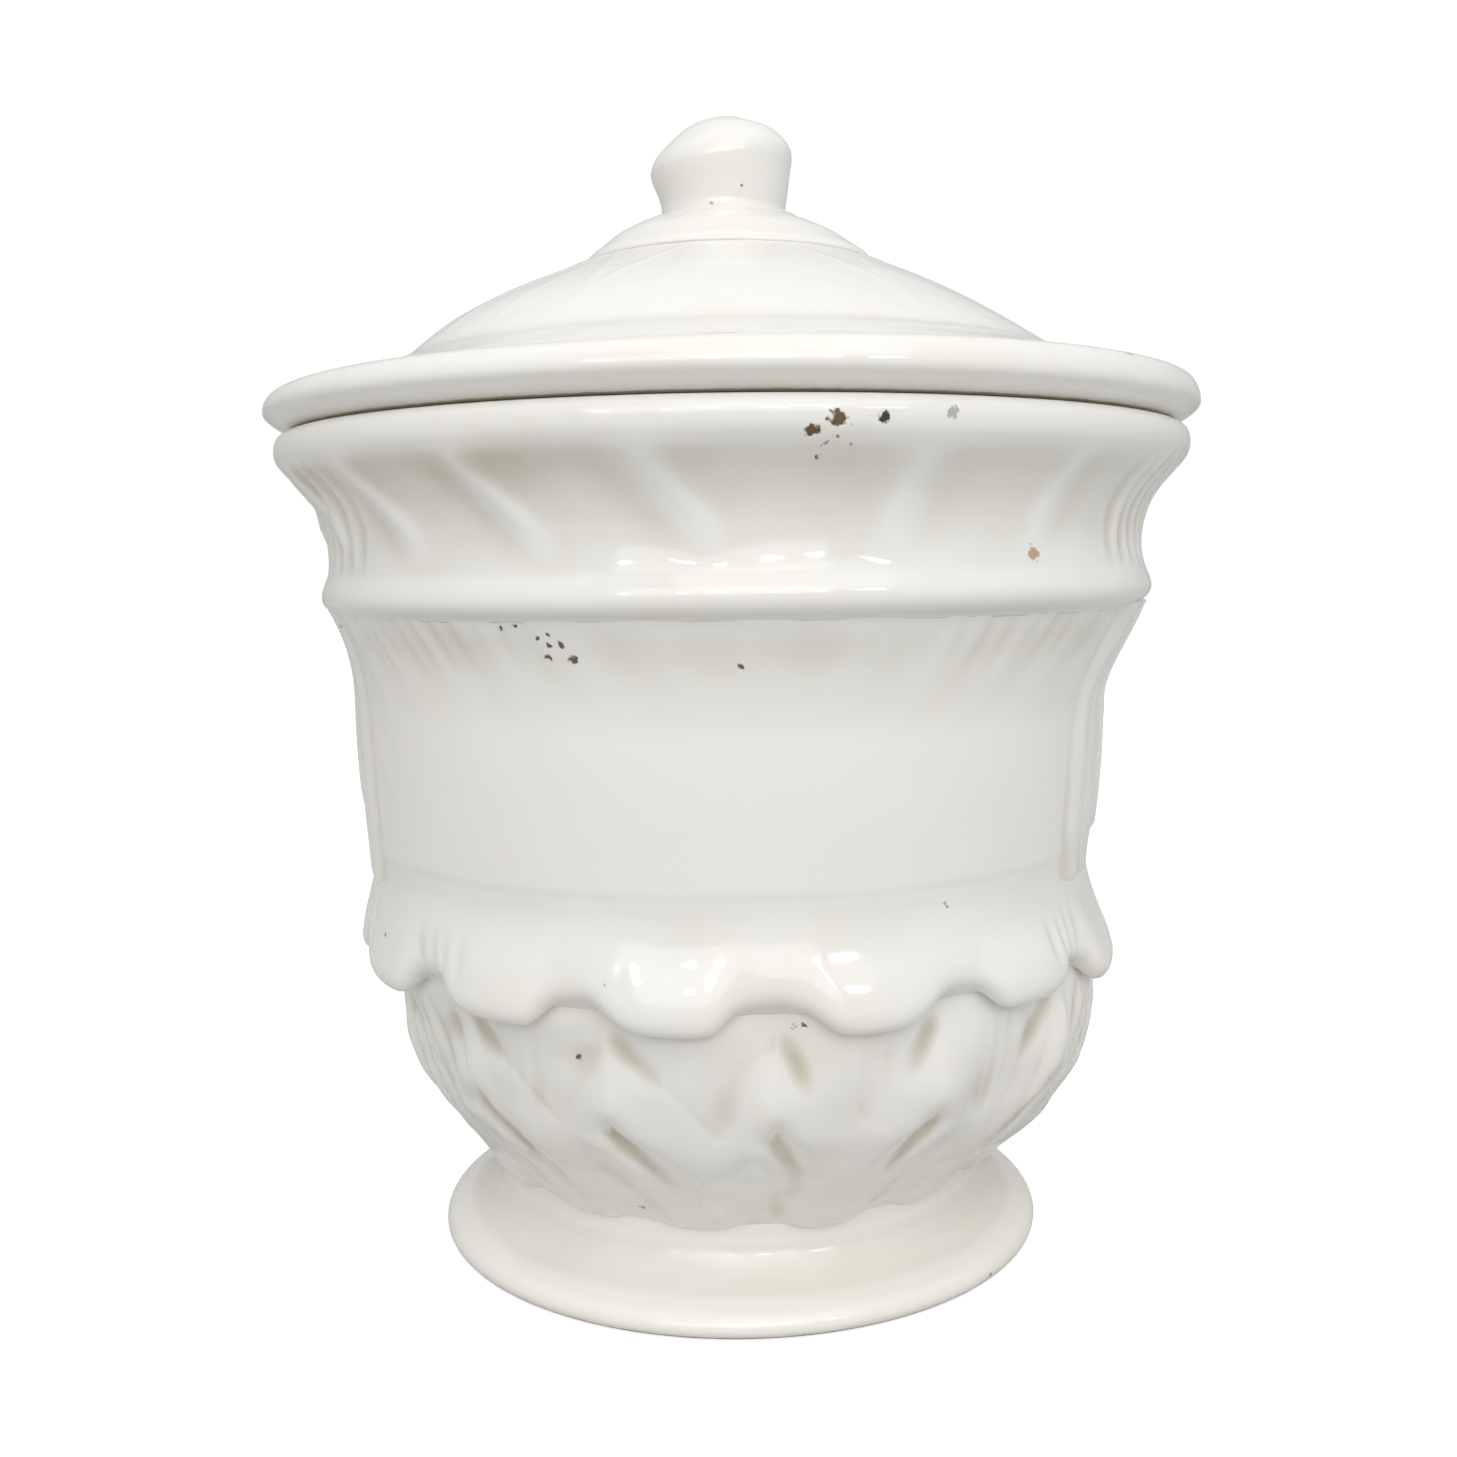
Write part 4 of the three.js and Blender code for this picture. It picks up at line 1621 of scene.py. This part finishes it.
@dataclass
class Lid:
    """The lid: four members luted together before firing."""

    white: Glaze = Glaze("lid_glaze", colour=(0.86, 0.85, 0.815))

    def build(self) -> list[bpy.types.Object]:
        """Makes the members from the brim up to the knob.

        Returns:
            The pieces.
        """
        place = {"body": Body.LID, "slot": Slot.WHITE, "glaze": self.white}
        members = (
            LidDome("lid_dome", chips=(Chip(5, 200.2, 1.2, ASH), Chip(46.6, 190.6, 1.8, ASH)), **place),
            LidFlange("lid_flange", **place),
            KnobCollar("knob_collar", **place),
            LidKnob("lid_knob", chips=(Chip(12, 234.1, 1.0, UMBER), Chip(-15, 230.6, 0.9, ASH)), **place),
        )
        return [member.build() for member in members]


# ---- Studio ----


@dataclass(frozen=True)
class Panel:
    """A rectangular light, by its azimuth and elevation from the jar's middle, in degrees and metres."""

    name: str
    azimuth: float
    elevation: float
    distance: float
    size: tuple[float, float]
    power: float
    colour: Colour = (1.0, 1.0, 1.0)

    def hang(self, aim: Vector) -> None:
        """Hangs the light facing the aim.

        Args:
            aim: The point that the light faces.
        """
        lamp = bpy.data.lights.new(self.name, "AREA")
        lamp.shape = "RECTANGLE"
        lamp.size, lamp.size_y = self.size
        lamp.energy = self.power
        lamp.color = self.colour
        turn, lift = math.radians(self.azimuth), math.radians(self.elevation)
        away = Vector((math.sin(turn) * math.cos(lift), -math.cos(turn) * math.cos(lift), math.sin(lift)))
        stand = bpy.data.objects.new(self.name, lamp)
        stand.location = aim + away * self.distance
        stand.rotation_mode = "QUATERNION"
        stand.rotation_quaternion = away.to_track_quat("Z", "Y")
        bpy.context.scene.collection.objects.link(stand)


@dataclass
class Studio:
    """White floor, soft light from above and the front, a row of windows, and the camera."""

    lens: float = 38.3
    camera_place: tuple[float, float, float] = (-1.44, -360.0, 152.1)
    tilt_down: float = 5.95
    roll: float = -0.7
    ambient: float = 0.58
    overhead: float = 0.8
    backdrop: Backdrop = Backdrop()
    floor_rings: tuple[float, ...] = (0.3, 0.8, 2.0, 6.0)
    floor_turns: int = 96
    panels: tuple[Panel, ...] = (
        Panel("softbox", 15, 42, 1.5, (1.3, 0.9), 3.9),
        Panel("front", -4, 23, 1.6, (1.6, 0.7), 5.2),
        Panel("overhead", 0, 84, 1.6, (1.6, 1.6), 2.2),
        Panel("fill_left", -60, 55, 1.8, (0.9, 1.2), 0.8),
    )
    windows: tuple[tuple[float, float], ...] = (
        (-29, 0.07),
        (-14, 0.06),
        (-5, 0.11),
        (9.5, 0.15),
        (21, 0.06),
        (34, 0.2),
    )
    window_elevation: float = 21.0
    window_distance: float = 1.5
    window_height: float = 0.065
    window_brightness: float = 50.0

    def build(self) -> None:
        """Sets the studio up round the jar."""
        low, high = CAD_BOX
        aim = (low + high) / 2
        self.camera()
        self.floor(low)
        self.sky()
        for panel in (*self.panels, *(self.window(*place) for place in self.windows)):
            panel.hang(aim)
        bpy.context.scene.view_settings.view_transform = "Standard"

    def window(self, azimuth: float, width: float) -> Panel:
        """One window of the row, by its azimuth in degrees and width in metres.

        Args:
            azimuth: Degrees round the jar.
            width: Metres across.

        Returns:
            The light.
        """
        size = (width, self.window_height)
        power = self.window_brightness * width * self.window_height
        return Panel("window", azimuth, self.window_elevation, self.window_distance, size, power)

    def camera(self) -> None:
        """Places the camera in front of the jar, looking slightly down."""
        data = bpy.data.cameras.new("camera")
        data.lens = self.lens
        data.clip_start = 0.01
        camera = bpy.data.objects.new("camera", data)
        bpy.context.scene.collection.objects.link(camera)
        camera.matrix_world = (
            Matrix.Translation(Vector(self.camera_place) * MM)
            @ Matrix.Rotation(math.radians(90 - self.tilt_down), 4, "X")
            @ Matrix.Rotation(math.radians(self.roll), 4, "Z")
        )
        bpy.context.scene.camera = camera

    def floor(self, low: Vector) -> None:
        """Lays a wide round floor under the jar.

        Args:
            low: Lowest corner of the jar's box, in metres.
        """
        mesh = bpy.data.meshes.new("floor")
        count = self.floor_turns
        turns = np.linspace(0, 2 * math.pi, count, endpoint=False)
        points = [(0, 0, low.z)]
        for ring in self.floor_rings:
            points += [(ring * math.sin(turn), -ring * math.cos(turn), low.z) for turn in turns]
        faces = [(0, 1 + i, 1 + (i + 1) % count) for i in range(count)]
        for level in range(len(self.floor_rings) - 1):
            inner = 1 + level * count
            outer = inner + count
            for i in range(count):
                after = (i + 1) % count
                faces.append((inner + i, outer + i, outer + after, inner + after))
        mesh.from_pydata(points, [], faces)
        floor = bpy.data.objects.new("floor", mesh)
        floor.data.materials.append(self.backdrop.material())
        bpy.context.scene.collection.objects.link(floor)

    def sky(self) -> None:
        """Lights the room softly, brighter overhead, and keeps what is seen of it white."""
        world = bpy.data.worlds.new("room")
        bpy.context.scene.world = world
        bench = NodeBench(world)
        way = bench.add("ShaderNodeTexCoord").outputs["Generated"]
        up = bench.add("ShaderNodeSeparateXYZ", {0: way}).outputs["Z"]
        level = bench.ramp(up, -0.2, 1.0, self.ambient * 0.8, self.overhead)
        seen = bench.add("ShaderNodeLightPath").outputs["Is Camera Ray"]
        strength = bench.math("MAXIMUM", level, bench.math("MULTIPLY", seen, 1.02))
        bench.show(bench.add("ShaderNodeBackground", {"Color": (1.0, 1.0, 1.0, 1.0), "Strength": strength}))


def main() -> None:
    """Builds the studio, the jar and its lid."""
    logging.basicConfig(level=logging.INFO, format="%(message)s")
    Studio().build()
    pieces = [*Jar().build(), *Lid().build()]
    log.info("%d pieces", len(pieces))


if __name__ == "__main__":
    main()
